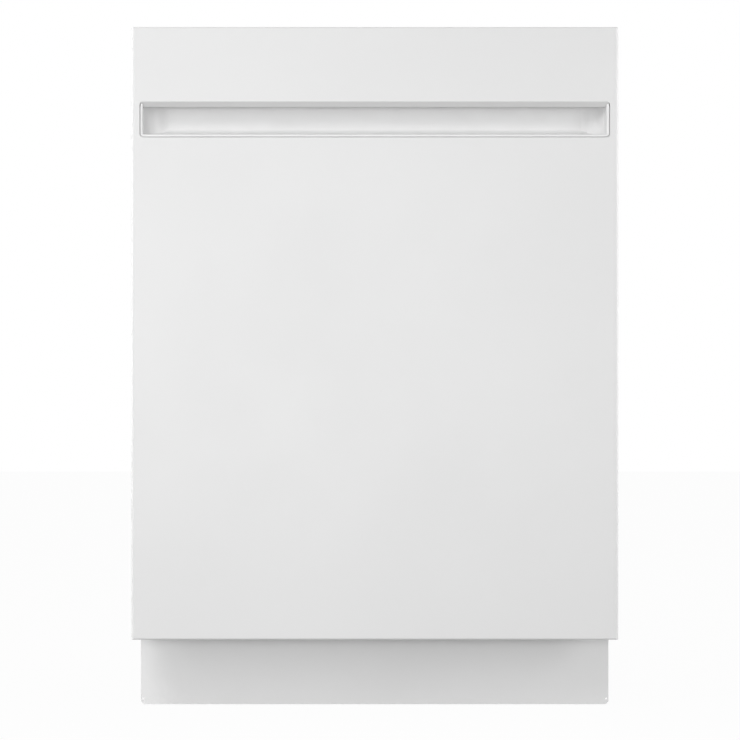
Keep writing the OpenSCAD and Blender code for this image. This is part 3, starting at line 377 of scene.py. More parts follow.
@dataclass(frozen=True)
class Felt(Finish):
    """Bonded recycled-fibre felt: mottled short fibres, no shine at all."""

    fibre: float = 2.4
    patch: float = 26.0
    fleck: str = "#85888B"
    relief: float = 1.2

    def pattern(self, skin: Skin) -> None:
        """Adds the mottling of mixed fibres, the fibres themselves and a matted relief."""
        drawn = skin.stretched(Rotation=(0.4, 0.7, 0.9), Scale=(0.25, 1.0, 1.0))
        fibres = skin.noise(self.fibre, 6.0, drawn)
        patches = skin.noise(self.patch, 4.0)
        matted = add_node(skin.tree, "ShaderNodeMix", {0: 0.45, 2: fibres, 3: patches}).outputs[0]
        skin.vary_colour(matted, self.fleck, 0.4, 0.62)
        skin.bump(matted, self.relief)
        skin.shader.inputs["Sheen Weight"].default_value = 0.15


@dataclass(frozen=True)
class Woven(Finish):
    """Plain-woven cloth tape, coated: a fine grid of threads with a dull shine."""

    thread: float = 1.4
    shade: str = "#73767A"

    def pattern(self, skin: Skin) -> None:
        """Adds the crossing threads, drawn twice as coarse as the real 0.7 mm so that they show."""
        inputs = {"Vector": skin.place, "Scale": per_mm(self.thread) / math.tau, "Distortion": 0.4}
        along_y, along_z, along_x = (
            add_node(skin.tree, "ShaderNodeTexWave", inputs, bands_direction=axis).outputs["Fac"]
            for axis in ("Y", "Z", "X")
        )
        pair = add_node(skin.tree, "ShaderNodeMath", {0: along_y, 1: along_z}, operation="MAXIMUM").outputs[0]
        weave = add_node(skin.tree, "ShaderNodeMath", {0: pair, 1: along_x}, operation="MAXIMUM").outputs[0]
        skin.vary_colour(weave, self.shade, 0.4, 1.0)
        skin.bump(weave, 0.12)


@dataclass(frozen=True)
class FineMesh(Finish):
    """Etched stainless filter sheet: a close field of round holes, drawn as dark spots of painted shade on
    the steel.
    """

    pitch: float = 1.8
    # the colour of the painted shade in the holes
    hole_shade: str = "#1C1D1E"

    def pattern(self, skin: Skin) -> None:
        """Adds the field of holes as painted shade: a real 0.9 mm pitch drawn twice as coarse so that it
        shows.
        """
        inputs = {"Vector": skin.place, "Scale": per_mm(self.pitch), "Randomness": 0.0}
        cells = add_node(skin.tree, "ShaderNodeTexVoronoi", inputs).outputs["Distance"]
        hollow = add_node(skin.tree, "ShaderNodeMath", {0: 1.0, 1: cells}, operation="SUBTRACT").outputs[0]
        # the dark hole colour is painted shade that stands in for the darkness seen through each hole
        skin.vary_colour(hollow, self.hole_shade, 0.66, 0.72)
        skin.vary_roughness(skin.noise(8), 0.05)
        skin.bump(cells, 0.2)


PANEL_WHITE = PowderCoat("white_powder_coat", "#DCDCDC", 0.36, cloud="#DADADA")
KICK_WHITE = PowderCoat("white_kick_coat", "#E8E8E8", 0.42, cloud="#E5E5E5")
HANDLE_WHITE = Moulded("white_moulded_handle", "#E8E8E8", 0.38, texture=1.2, depth=0.006, cloud="#E5E5E5")
CONSOLE_GREY = Moulded("grey_moulded_console", "#54575A", 0.34, texture=0.8, depth=0.01, cloud="#4C4F52")
KEY_BLACK = Moulded("black_key_cap", "#1B1C1D", 0.22, texture=1.5, depth=0.004, cloud="#202122")
LINER_STEEL = BrushedSteel("brushed_liner_steel", "#A9A9A7", 0.34, 1.0)
TUB_STEEL = BrushedSteel("brushed_tub_steel", "#A5A5A3", 0.36, 1.0, grain=Grain.ALONG_Y)
BACK_STEEL = BrushedSteel("brushed_back_steel", "#A5A5A3", 0.36, 1.0, grain=Grain.ALONG_X)
ARM_STEEL = BrushedSteel("brushed_arm_steel", "#B0B0AE", 0.3, 1.0, line=0.8)
FILTER_STEEL = FineMesh("etched_filter_steel", "#B4B4B2", 0.4, 1.0)
ZINC = Galvanised("galvanised_steel", "#8E9295", 0.42, 1.0)
FLOOR_PLASTIC = Moulded("grey_moulded_floor", "#7E8285", 0.5, cloud="#767A7D")
BASKET_PLASTIC = Moulded("grey_moulded_basket", "#8D9093", 0.45, cloud="#85888B")
BLACK_PLASTIC = Moulded("black_moulded_base", "#1E1F20", 0.5, cloud="#242526")
PALE_PLASTIC = Moulded("pale_moulded_parts", "#D5D7D9", 0.42, cloud="#CDCFD1")
CAP_BLUE = Moulded("blue_moulded_cap", "#3A6EA5", 0.4, cloud="#35669A")
WIRE_GREY = NylonCoat("grey_nylon_wire", "#BFC1C3", 0.36)
SEAL_BLACK = Rubber("black_seal_rubber", "#1A1B1C", 0.7)
BLANKET = Felt("grey_bonded_felt", "#56595C", 0.95)
HEATER = HeatedTube("oxidised_heater_tube", "#7A7068", 0.45, 1.0)
TAPE = Woven("grey_cloth_tape", "#7C7F82", 0.7)
SCREW_STEEL = BrushedSteel("plated_screw_steel", "#B5B7B8", 0.32, 1.0, line=0.3)
SMOKED_PANE = Moulded("smoked_acrylic_pane", "#121314", 0.08, texture=6.0, depth=0.002, cloud="#161718")
LAMP_LENS = Moulded("milky_lamp_lens", "#C9CCC8", 0.25, texture=1.0, depth=0.002, cloud="#C2C5C1")
UNLIT_BAR = Moulded("unlit_timer_bar", "#2A2C2D", 0.2, texture=1.0, depth=0.002, cloud="#2E3031")
KEY_PRINT = Moulded("white_key_print", "#D8DADB", 0.5, texture=0.4, depth=0.004, cloud="#D0D2D3")
FLOOR_PAINT = Finish("studio_floor_paint", "#B4B4B4", 0.9)


def sides(*names: str) -> tuple[str, ...]:
    """Gives the left and the right node of each name."""
    return tuple(f"{name}_{side}" for name in names for side in ("left", "right"))


LEGS = sides("leg_front", "leg_rear")
NODE_FINISHES: dict[Finish, tuple[str, ...]] = {
    PANEL_WHITE: ("door_panel",),
    KICK_WHITE: ("toe_kick",),
    HANDLE_WHITE: ("pocket_handle",),
    CONSOLE_GREY: ("control_console",),
    KEY_BLACK: ("power_button", "cycle_button", "options_button", "start_button"),
    LINER_STEEL: ("inner_door",),
    TUB_STEEL: ("tub_wrap",),
    BACK_STEEL: ("tub_back",),
    ARM_STEEL: ("lower_spray_arm", "upper_spray_arm"),
    FILTER_STEEL: ("coarse_filter",),
    ZINC: (
        "strike_plate", "junction_box", "latch_pawl", *LEGS,
        *sides("mounting_tab", "hinge_bracket", "outer_rail", "middle_rail", "inner_rail", "hinge_arm"),
    ),
    FLOOR_PLASTIC: ("tub_floor", "door_sill", "sump", "filter_cup"),
    BASKET_PLASTIC: ("silverware_basket", "cup_shelf"),
    BLACK_PLASTIC: ("base_pan", "wash_pump", "drain_pump"),
    PALE_PLASTIC: (
        "feed_duct", "upper_feed_pipe", "inlet_valve", "overfill_float", "detergent_dispenser",
        "detergent_lid", *sides("wheel_front", "wheel_rear"),
    ),
    CAP_BLUE: ("rinse_cap",),
    WIRE_GREY: ("upper_rack", "lower_rack", "folding_tines"),
    SEAL_BLACK: ("door_gasket", "bottom_seal"),
    BLANKET: ("insulation_blanket",),
    HEATER: ("heating_element",),
}


def dress_nodes(nodes: dict[str, bpy.types.Object]) -> None:
    """Gives every solid part its finish.

    Args:
        nodes: Node name to its object.
    """
    for finish, names in NODE_FINISHES.items():
        material = finish.build()
        for name in names:
            data = nodes[name].data
            data.materials.clear()
            data.materials.append(material)
            LOG.info("%s: %s", name, finish.name)


# ---- making meshes


@dataclass(frozen=True)
class Mount:
    """Where a piece belongs: the body it rides on, the record's material slot and its finish."""

    body: str
    slot: str
    finish: Finish


# a pivot in metres, a turn in radians, the travel in metres and the steps
Leg = tuple[Sequence[float], float, Sequence[float], int]
# where a small shape is set down and the way its +Z points
Foot = tuple[Sequence[float], Vector]


class Workpiece:
    """One named piece in the making, worked with mesh operators until it is done."""

    def __init__(self, name: str, mount: Mount) -> None:
        """Starts an empty piece.

        Args:
            name: The finished object's name.
            mount: Where it belongs and what it wears.
        """
        self.name = name
        self.mount = mount
        self.bm = bmesh.new()

    def turned(self, outline: Sequence[tuple[float, float]], steps: int = 16) -> list[Vert]:
        """Turns an outline into a closed round solid along +Z at the origin.

        Args:
            outline: (radius, height) points from the axis back to the axis.
            steps: How many flats go round it.

        Returns:
            The new vertices.
        """
        start = len(self.bm.verts)
        points = [self.bm.verts.new((radius * MM, 0, height * MM)) for radius, height in outline]
        edges = [self.bm.edges.new(pair) for pair in zip(points, points[1:])]
        bmesh.ops.spin(
            self.bm, geom=[*points, *edges], cent=(0, 0, 0), axis=(0, 0, 1), angle=math.tau, steps=steps,
            use_merge=True, use_duplicate=False,
        )
        self.bm.verts.ensure_lookup_table()
        fresh = self.bm.verts[start:]
        bmesh.ops.remove_doubles(self.bm, verts=fresh, dist=POLE_WELD)
        self.bm.verts.ensure_lookup_table()
        return self.bm.verts[start:]

    def block(
        self, middle: tuple[float, float], half: tuple[float, float], level: tuple[float, float],
        corner: float, edge: float = 0.0,
    ) -> None:
        """Adds a slab with rounded upright corners and softened top and bottom edges.

        Args:
            middle: Where its middle is, along X and Y.
            half: Half its width and half its depth.
            level: The heights of its underside and its top.
            corner: Radius of the upright corners.
            edge: Radius of the other edges.
        """
        start = len(self.bm.verts)
        made = bmesh.ops.create_cube(self.bm, size=1.0)["verts"]
        low, high = level
        size = (2 * half[0] * MM, 2 * half[1] * MM, (high - low) * MM)
        bmesh.ops.scale(self.bm, vec=size, verts=made)
        place = (middle[0] * MM, middle[1] * MM, (low + high) / 2 * MM)
        bmesh.ops.translate(self.bm, vec=place, verts=made)
        around = {e for v in made for e in v.link_edges}
        upright = [e for e in around if abs(e.verts[0].co.z - e.verts[1].co.z) > size[2] / 2]
        self.soften(upright, corner, CORNER_FLATS)
        rims = {e for v in self.bm.verts[start:] for e in v.link_edges}
        flat = [e for e in rims if abs(e.verts[0].co.z - e.verts[1].co.z) < 1e-7]
        self.soften(flat, edge, EDGE_FLATS)

    def soften(self, edges: list[bmesh.types.BMEdge], radius: float, flats: int) -> None:
        """Rounds edges over, where the radius isn't 0.

        Args:
            edges: The edges.
            radius: Their radius.
            flats: How many flats the round has.
        """
        if radius > 0:
            bmesh.ops.bevel(
                self.bm, geom=edges, offset=radius * MM, affect="EDGES", segments=flats, profile=0.5,
                material=-1,
            )
        self.bm.verts.ensure_lookup_table()

    def carry(
        self, points: Sequence[Sequence[float]], legs: Iterable[Leg], axis: Sequence[float] = (0, 1, 0),
        closed: bool = True,
    ) -> None:
        """Carries an outline along a path, leaving a skin behind it; a closed one gets its ends closed too.

        Args:
            points: The outline's corners.
            legs: The path.
            axis: The direction its turns go about.
            closed: Whether the last point joins the first.
        """
        verts = [self.bm.verts.new([c * MM for c in point]) for point in points]
        pairs = list(zip(verts, verts[1:])) + ([(verts[-1], verts[0])] if closed else [])
        geom = [*verts, *(self.bm.edges.new(pair) for pair in pairs)]
        for pivot, turn, travel, steps in legs:
            geom = bmesh.ops.spin(
                self.bm, geom=geom, cent=pivot, axis=axis, dvec=[t / steps for t in travel], angle=turn,
                steps=steps, use_merge=False, use_duplicate=False,
            )["geom_last"]
        if closed:
            bmesh.ops.holes_fill(self.bm, edges=[e for e in self.bm.edges if e.is_boundary], sides=0)

    def doubled(self) -> list[Vert]:
        """Doubles a single sheet, so that it can be given a thickness.

        Returns:
            The second side's vertices, which still lie on the first.
        """
        made = bmesh.ops.extrude_face_region(self.bm, geom=list(self.bm.faces))["geom"]
        return [part for part in made if isinstance(part, Vert)]

    def shape(self, name: str) -> bpy.types.Mesh:
        """Turns the work so far into a mesh to stamp elsewhere.

        Args:
            name: The mesh's name.

        Returns:
            The mesh.
        """
        mesh = bpy.data.meshes.new(name)
        self.bm.to_mesh(mesh)
        self.bm.free()
        return mesh

    def done(self, crease: float = 38.0, stands_for: Sequence[str] = ()) -> bpy.types.Object:
        """Closes the piece, shades it, hangs it on its body and reports it.

        Args:
            crease: Edges sharper than this many degrees stay crisp.
            stands_for: The solid nodes it replaces.

        Returns:
            The finished object.
        """
        bmesh.ops.remove_doubles(self.bm, verts=self.bm.verts, dist=WELD)
        bmesh.ops.recalc_face_normals(self.bm, faces=self.bm.faces)
        for face in self.bm.faces:
            face.smooth = True
        for rim in self.bm.edges:
            rim.smooth = rim.calc_face_angle(math.pi) < math.radians(crease)
        mesh = self.shape(self.name)
        mesh.materials.append(self.mount.finish.build())
        piece = bpy.data.objects.new(self.name, mesh)
        bpy.context.scene.collection.objects.link(piece)
        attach(piece, self.mount.body)
        if stands_for:
            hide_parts(*stands_for)
        LOG.info("%s: %d faces on %s", self.name, len(mesh.polygons), self.mount.body)
        return piece


def stamped(
    name: str, mount: Mount, head: Workpiece, feet: Sequence[Foot], crease: float = 38.0, twist: float = 0.0
) -> bpy.types.Object:
    """Makes one piece of many copies of a small shape.

    Args:
        name: The piece's name.
        mount: Where it belongs and what it wears.
        head: The small shape's workpiece, made along +Z at the origin; it is used up.
        feet: Where each copy stands.
        crease: Edges sharper than this many degrees stay crisp.
        twist: How far each copy is turned on from the last, in radians.

    Returns:
        The finished object.
    """
    shape = head.shape(head.name)
    work = Workpiece(name, mount)
    for number, (place, axis) in enumerate(feet):
        start = len(work.bm.verts)
        work.bm.from_mesh(shape)
        work.bm.verts.ensure_lookup_table()
        matrix = (
            Matrix.Translation([p * MM for p in place])
            @ axis.to_track_quat("Z", "Y").to_matrix().to_4x4()
            @ Matrix.Rotation(number * twist, 4, "Z")
        )
        bmesh.ops.transform(work.bm, matrix=matrix, verts=work.bm.verts[start:])
    bpy.data.meshes.remove(shape)
    return work.done(crease)


@dataclass(frozen=True)
class Arch:
    """The path up one side of the tub, over its top and down the other side."""

    half: float = 280.0
    top: float = 828.0
    radius: float = 32.0
    foot: float = 141.0

    def legs(self, step: float, turns: int) -> list[Leg]:
        """Splits the path into legs for Workpiece.carry.

        Args:
            step: The longest step on a straight.
            turns: Steps round each corner.

        Returns:
            The five legs.
        """
        rise = (self.top - self.radius - self.foot) * MM
        across = 2 * (self.half - self.radius) * MM
        up_steps = math.ceil(rise / (step * MM))
        over_steps = math.ceil(across / (step * MM))
        side, height = (self.half - self.radius) * MM, (self.top - self.radius) * MM
        quarter = math.pi / 2
        return [
            ((0, 0, 0), 0.0, (0, 0, rise), up_steps),
            ((-side, 0, height), quarter, (0, 0, 0), turns),
            ((0, 0, 0), 0.0, (across, 0, 0), over_steps),
            ((side, 0, height), quarter, (0, 0, 0), turns),
            ((0, 0, 0), 0.0, (0, 0, -rise), up_steps),
        ]

    def outward(self, place: Vector) -> Vector:
        """Gives the direction that points straight off the tub at a place.

        Args:
            place: A point near the arch, in metres.

        Returns:
            A unit vector without a Y part.
        """
        side, height = (self.half - self.radius) * MM, (self.top - self.radius) * MM
        flat = Vector((place.x - max(-side, min(side, place.x)), 0, max(0.0, place.z - height)))
        return flat.normalized() if flat.length > 1e-6 else Vector((0, 0, 1))


# ---- soft pieces


@dataclass
class InsulationBlanket:
    """The felt blanket over the tub: a wrap, a back sheet and the cloth tape that joins them.

    A swell is a slow or quick unevenness of the felt. It calms down towards the taped edges, and every
    clip and cut edge draws the felt in.
    """

    arch: Arch = Arch(foot=152.0)
    gap: float = 0.7
    thickness: float = 8.2
    front: float = -232.0
    back: float = 285.9
    sheet_step: float = 9.0
    corner_steps: int = 12
    pattern_shift: tuple[float, float, float] = (3.7, 1.3, 8.1)
    slow_swell: float = 3.4
    quick_swell: float = 0.9
    slow_waves: float = 8.0
    quick_waves: float = 30.0
    calm_edge: float = 32.0
    calm_reach: float = 50.0
    free_edge_gain: float = 15.0
    dimple: float = 4.2
    dimple_reach: float = 26.0
    hem: float = 3.0
    hem_reach: float = 6.0
    lap: float = 0.8
    tuck: float = 0.6
    back_swell: float = 0.8
    back_gap: float = 0.4
    back_grid: tuple[int, int] = (56, 66)
    corner_gain: float = 6.0
    clip_sink: float = 3.2
    buttons: tuple[tuple[float, float, float], ...] = (
        *(
            (x, y, z) for x in (-290, 290)
            for y, z in ((-176, 640), (196, 640), (10, 430), (-176, 250), (196, 250))
        ),
        (-150, 0, 838), (150, 0, 838), (0, -170, 838),
    )

    def puff(self, place: Vector, free: float, taped: float) -> float:
        """Works out how far the felt stands proud of its even thickness.

        Args:
            place: A point on its outside, in metres.
            free: Its distance from the nearest cut edge, in metres.
            taped: Its distance from the nearest taped edge, in metres.

        Returns:
            The extra thickness in metres.
        """
        inside = min(free / MM + self.free_edge_gain, taped / MM) - self.calm_edge
        calm = max(0.0, min(1.0, inside / self.calm_reach))
        shift = Vector(self.pattern_shift)
        slow = noise.noise(place * self.slow_waves + shift) * self.slow_swell
        quick = noise.noise(place * self.quick_waves + shift) * self.quick_swell
        reach = self.dimple_reach * MM
        dents = (math.exp(-(((place - Vector(b) * MM).length / reach) ** 2)) for b in self.buttons)
        hem = self.hem * math.exp(-max(0.0, free / MM) / self.hem_reach)
        return ((slow + quick) * calm - self.dimple * sum(dents) - hem) * MM

    def wrap(self) -> bpy.types.Object:
        """Makes the sheet that runs up one side, over the top and down the other.

        Returns:
            The wrap.
        """
        work = Workpiece("blanket_wrap", Mount("cabinet", "insulation_felt", BLANKET))
        count = math.ceil((self.back - self.front) / self.sheet_step)
        depth = [self.front + (self.back - self.front) * i / count for i in range(count + 1)]
        x = -self.arch.half - self.gap
        edge = [(x, y, self.arch.foot) for y in depth]
        work.carry(edge, self.arch.legs(self.sheet_step, self.corner_steps), closed=False)
        bmesh.ops.recalc_face_normals(work.bm, faces=work.bm.faces)
        for vert in work.doubled():
            off = self.arch.outward(vert.co)
            place = vert.co + off * self.thickness * MM
            free = min(vert.co.y - self.front * MM, vert.co.z - self.arch.foot * MM)
            vert.co = place + off * self.puff(place, free, self.back * MM - vert.co.y)
        return work.done(crease=60)

    def back_sheet(self) -> bpy.types.Object:
        """Makes the sheet that closes the back, with its upper corners rounded like the tub's.

        Returns:
            The back sheet.
        """
        work = Workpiece("blanket_back", Mount("cabinet", "insulation_felt", BLANKET))
        low, high = self.arch.foot, self.arch.top + self.thickness - self.tuck
        half = self.arch.half + self.thickness - self.lap
        columns, rows = self.back_grid
        bmesh.ops.create_grid(work.bm, x_segments=columns, y_segments=rows, size=0.5)
        corner = self.arch.radius + self.corner_gain
        side, height = half - corner, high - corner
        for vert in work.bm.verts:
            across, up = vert.co.x * 2, vert.co.y + 0.5
            place = Vector((across * half, self.back + self.back_gap, low + (high - low) * up))
            spill = Vector((abs(place.x) - side, 0, place.z - height))
            if spill.x > 0 and spill.z > 0:
                reach = max(spill.x, spill.z) / max(spill.length, 1e-6)
                place.x = math.copysign(side + spill.x * reach, place.x)
                place.z = height + spill.z * reach
            vert.co = place * MM
        for vert in work.doubled():
            place = vert.co.copy()
            taped = min(half * MM - abs(place.x), high * MM - place.z)
            swell = self.puff(place, place.z - low * MM, taped) * self.back_swell
            vert.co.y += (self.thickness - self.lap) * MM + swell
        return work.done(crease=60)

    def tape(self) -> bpy.types.Object:
        """Makes the cloth tape folded over the corner between wrap and back sheet.

        Returns:
            The tape.
        """
        work = Workpiece("blanket_tape", Mount("cabinet", "insulation_felt", TAPE))
        path = Arch(foot=self.arch.foot + 2)
        x = -self.arch.half - self.thickness - self.tuck
        y = self.back + self.thickness - self.tuck
        fold = [
            (0, -34), (-0.4, -33.6), (-0.5, -6), (1.1, -1.6), (5, 0.5),
            (30, 0.4), (30.4, 0), (6, -0.3), (1.8, -2.4), (0.2, -6.4),
        ]
        points = [(x + across, y + back, path.foot) for across, back in fold]
        work.carry(points, path.legs(12.0, self.corner_steps))
        return work.done(crease=50)

    def clips(self) -> bpy.types.Object:
        """Makes the push-on clips that hold the felt in its dimples.

        Returns:
            The clips.
        """
        mount = Mount("cabinet", "light_moulding", PALE_PLASTIC)
        clip = Workpiece("clip", mount)
        clip.turned([(0, -2), (3, -2), (9, 0), (9.4, 0.7), (8.4, 1.2), (3.6, 1.5), (2.6, 2.6), (0, 2.8)], 18)
        rise = self.gap + self.thickness - self.clip_sink
        feet = []
        for button in self.buttons:
            place = Vector(button) * MM
            off = self.arch.outward(place)
            if off.z > 0.5:
                place.z = (self.arch.top + rise) * MM
            else:
                place.x = math.copysign((self.arch.half + rise) * MM, place.x)
            feet.append((place / MM, off))
        return stamped("blanket_clips", mount, clip, feet)

    def build(self) -> None:
        """Makes the blanket's pieces and hides the solid blanket."""
        wrap, sheet, tape, clips = self.wrap(), self.back_sheet(), self.tape(), self.clips()
        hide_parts("insulation_blanket")


@dataclass
class DoorSeals:
    """The extruded rubber seals: a bulb round the tub's mouth and a wiper along the door's foot."""

    arch: Arch = Arch(foot=141.0)
    step: float = 20.0
    corner_steps: int = 14
    seat: float = -246.05
    wiper_half: float = 262.0
    wiper_y: float = -250.0
    wiper_low: float = 122.0

    def bulb(self) -> None:
        """Makes the seal round the mouth: a flat foot, two fine ribs and a round bulb."""
        work = Workpiece("mouth_seal", Mount("cabinet", "seal_rubber", SEAL_BLACK))
        profile = [
            (-5, 0), (7, 0), (7, 0.9), (6.2, 1.6), (5.4, 0.9), (4.6, 1.0), (4.3, 2.0), (3.4, 2.9), (2.2, 3.4),
            (1, 3.5), (-0.2, 3.4), (-1.4, 2.9), (-2.3, 2.0), (-2.6, 1.0), (-3.4, 0.9), (-4.2, 1.6), (-5, 0.9),
        ]
        points = [(-self.arch.half - off, self.seat - rise, self.arch.foot) for off, rise in profile]
        work.carry(points, self.arch.legs(self.step, self.corner_steps))
        work.done(crease=50, stands_for=("door_gasket",))

    def wiper(self) -> None:
        """Makes the seal along the door's foot: a ribbed strip with a lip that wipes the sill."""
        work = Workpiece("foot_seal", Mount("door", "seal_rubber", SEAL_BLACK))
        profile = [
            (0.05, 0), (2.0, 0), (2.0, 1.6), (1.3, 2.2), (2.0, 2.8), (2.0, 4.4), (1.3, 5.0), (2.0, 5.6),
            (2.0, 8.6), (2.7, 10.4), (3.1, 12.2), (2.6, 13.4), (1.6, 13.5), (0.8, 12.2), (0.05, 9.0),
        ]
        points = [(-self.wiper_half, self.wiper_y + out, self.wiper_low + up) for out, up in profile]
        work.carry(points, [((0, 0, 0), 0.0, (2 * self.wiper_half * MM, 0, 0), 24)])
        work.done(crease=50, stands_for=("bottom_seal",))

    def build(self) -> None:
        """Makes both seals."""
        self.bulb()
        self.wiper()


# ---- small hardware


@dataclass
class Fasteners:
    """The screws and rivets, each group on the body that carries it."""

    flats: int = 12
    twist: float = 0.7
    sunk: float = 0.3
    screw_size: tuple[float, float] = (4.2, 2.4)
    small_screw_size: tuple[float, float] = (3.4, 1.9)
    rivet_size: tuple[float, float] = (3.6, 1.6)
    pan_shares: tuple[tuple[float, float], ...] = (
        (1, 0.25), (0.93, 0.65), (0.68, 0.93), (0.44, 1), (0.44, 0.4), (0, 0.34),
    )
    rivet_shares: tuple[tuple[float, float], ...] = ((1, 0.3), (0.8, 0.8), (0.45, 1), (0.4, 0.75), (0, 0.7))
    star_span: tuple[float, float] = (0.3, 0.5)
    star_depth: float = 0.72
    edge_x: float = 279.0
    edge_shares: tuple[float, ...] = (0.07, 0.29, 0.5, 0.71, 0.93)
    top_x: tuple[float, ...] = (-190.0, -70.0, 70.0, 190.0)
    top_drop: float = 7.0
    arm_y: float = -268.0
    arm_z: tuple[float, ...] = (180.0, 240.0, 300.0)
    plate_y: tuple[float, ...] = (-205.0, -188.0)
    plate_z: tuple[float, ...] = (60.0, 104.0)
    rail_x: float = 272.4
    rail_y: tuple[float, ...] = (-190.0, 0.0, 190.0)
    rail_drops: tuple[float, ...] = (24.0, 8.0)
    tab_x: tuple[float, ...] = (188.0, 212.0)
    tab_y: float = -241.0

    def mount(self, body: str) -> Mount:
        """Gives the place of a fastener on a body."""
        return Mount(body, "galvanised_steel", SCREW_STEEL)

    def head(self, shares: Sequence[tuple[float, float]], size: tuple[float, float]) -> Workpiece:
        """Turns a head whose rim is sunk a little.

        Args:
            shares: Its outline above the sunk rim, as shares of its radius and height.
            size: Its radius and how far it stands up.

        Returns:
            The head.
        """
        work = Workpiece("head", self.mount("cabinet"))
        radius, height = size
        rise = [(radius * out, height * up) for out, up in shares]
        work.turned([(0, -self.sunk), (radius, -self.sunk), *rise], self.flats)
        return work

    def screw(self, size: tuple[float, float]) -> Workpiece:
        """Makes a pan head with a star recess.

        Args:
            size: Its radius and how far it stands up.

        Returns:
            The head.
        """
        work = self.head(self.pan_shares, size)
        low, high = (share * size[0] * MM for share in self.star_span)
        for vert in work.bm.verts:
            flat = Vector((vert.co.x, vert.co.y))
            if low < flat.length < high and vert.co.z > 0:
                if round(math.atan2(flat.y, flat.x) / math.tau * self.flats) % 2:
                    vert.co.x *= self.star_depth
                    vert.co.y *= self.star_depth
        return work

    def group(self, name: str, body: str, head: Workpiece, feet: Sequence[Foot]) -> None:
        """Sets down one group of fasteners, each turned on from the last.

        Args:
            name: The piece's name.
            body: The body it rides on.
            head: The head to stamp.
            feet: Where each foot is and the way it points.
        """
        stamped(name, self.mount(body), head, feet, twist=self.twist)

    def build(self) -> None:
        """Makes every group."""
        inward, up = Vector((0, 1, 0)), Vector((0, 0, 1))
        flanks = ((-1, Vector((-1, 0, 0))), (1, Vector((1, 0, 0))))
        low, high = (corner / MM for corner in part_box("inner_door"))
        heights = [low.z + (high.z - low.z) * share for share in self.edge_shares]
        self.group(
            "door_edge_screws", "door", self.screw(self.screw_size),
            [((s * self.edge_x, high.y, z), inward) for s, _ in flanks for z in heights]
            + [((x, high.y, high.z - self.top_drop), inward) for x in self.top_x],
        )
        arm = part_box("hinge_arm_right")[1] / MM
        self.group(
            "hinge_arm_bolts", "door", self.screw(self.screw_size),
            [((s * arm.x, self.arm_y, z), out) for s, out in flanks for z in self.arm_z],
        )
        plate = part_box("hinge_bracket_right")[1] / MM
        self.group(
            "hinge_plate_bolts", "cabinet", self.screw(self.screw_size),
            [((s * plate.x, y, z), out) for s, out in flanks for y in self.plate_y for z in self.plate_z],
        )
        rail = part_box("outer_rail_right")[1] / MM
        self.group(
            "rail_rivets", "cabinet", self.head(self.rivet_shares, self.rivet_size),
            [
                ((s * self.rail_x, y, rail.z - drop), -out)
                for s, out in flanks for y in self.rail_y for drop in self.rail_drops
            ],
        )
        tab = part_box("mounting_tab_right")[1] / MM
        self.group(
            "tab_rivets", "cabinet", self.head(self.rivet_shares, self.rivet_size),
            [((s * x, self.tab_y, tab.z), up) for s, _ in flanks for x in self.tab_x],
        )
        low, high = (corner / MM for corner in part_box("junction_box"))
        lid = ((low.x + high.x) / 2, (low.y + high.y) / 2, high.z)
        self.group("junction_box_screw", "cabinet", self.screw(self.small_screw_size), [(lid, up)])


@dataclass
class LegThreads:
    """The rolled thread on each levelling leg, above its nut."""

    core: float = 6.0
    crest: float = 0.55
    pitch: float = 1.75
    low: float = 17.4
    high: float = 26.0
    flats: int = 20

    def build(self) -> None:
        """Makes a thread on each leg."""
        inside, middle = self.core - 0.3, self.low + self.pitch / 2
        ridge = [
            (inside, self.low), (self.core, self.low + 0.2), (self.core + self.crest, middle),
            (self.core, self.low + self.pitch - 0.2), (inside, self.low + self.pitch - 0.05),
        ]
        turns = round((self.high - self.low) / self.pitch)
        for node in LEGS:
            low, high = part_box(node)
            x, y = (low.x + high.x) / 2 / MM, (low.y + high.y) / 2 / MM
            body = "foot_" + node.removeprefix("leg_")
            work = Workpiece(node + "_thread", Mount(body, "galvanised_steel", ZINC))
            travel = (0, 0, self.pitch * turns * MM)
            leg = ((x * MM, y * MM, 0), math.tau * turns, travel, self.flats * turns)
            work.carry([(x + out, y, z) for out, z in ridge], [leg], axis=(0, 0, 1))
            work.done(crease=30)


# ---- baskets


@dataclass
class TineTips:
    """The thick dipped beads on the ends of the baskets' upright wires."""

    radius: float = 2.5
    height: float = 6.5
    flats: int = 12
    # the piece, the basket it rides on, and where its wires end: across, in depth and up
    rows: tuple[tuple[str, str, Sequence[float], Sequence[float], float], ...] = (
        ("lower_tine_beads", "lower_basket", range(-171, 182, 32), (-58, -12), 268.0),
        ("upper_tine_beads", "upper_basket", range(-89, 200, 48), (-74, 40), 548.0),
        ("folding_tine_beads", "tine_row", (*range(-170, 0, 34), *range(34, 171, 34)), (80,), 274.0),
    )

    def build(self) -> None:
        """Beads the rows of all three baskets."""
        r, h = self.radius, self.height
        outline = [
            (0, -h), (1.7, -h), (0.8 * r, -0.8 * h), (r, -0.45 * h),
            (0.97 * r, -0.2 * h), (0.6 * r, 0.25), (0, 0.5),
        ]
        for name, body, across, depths, top in self.rows:
            mount = Mount(body, "coated_wire", WIRE_GREY)
            bead = Workpiece("bead", mount)
            bead.turned(outline, self.flats)
            stamped(name, mount, bead, [((x, y, top), Vector((0, 0, 1))) for y in depths for x in across])


# ---- controls


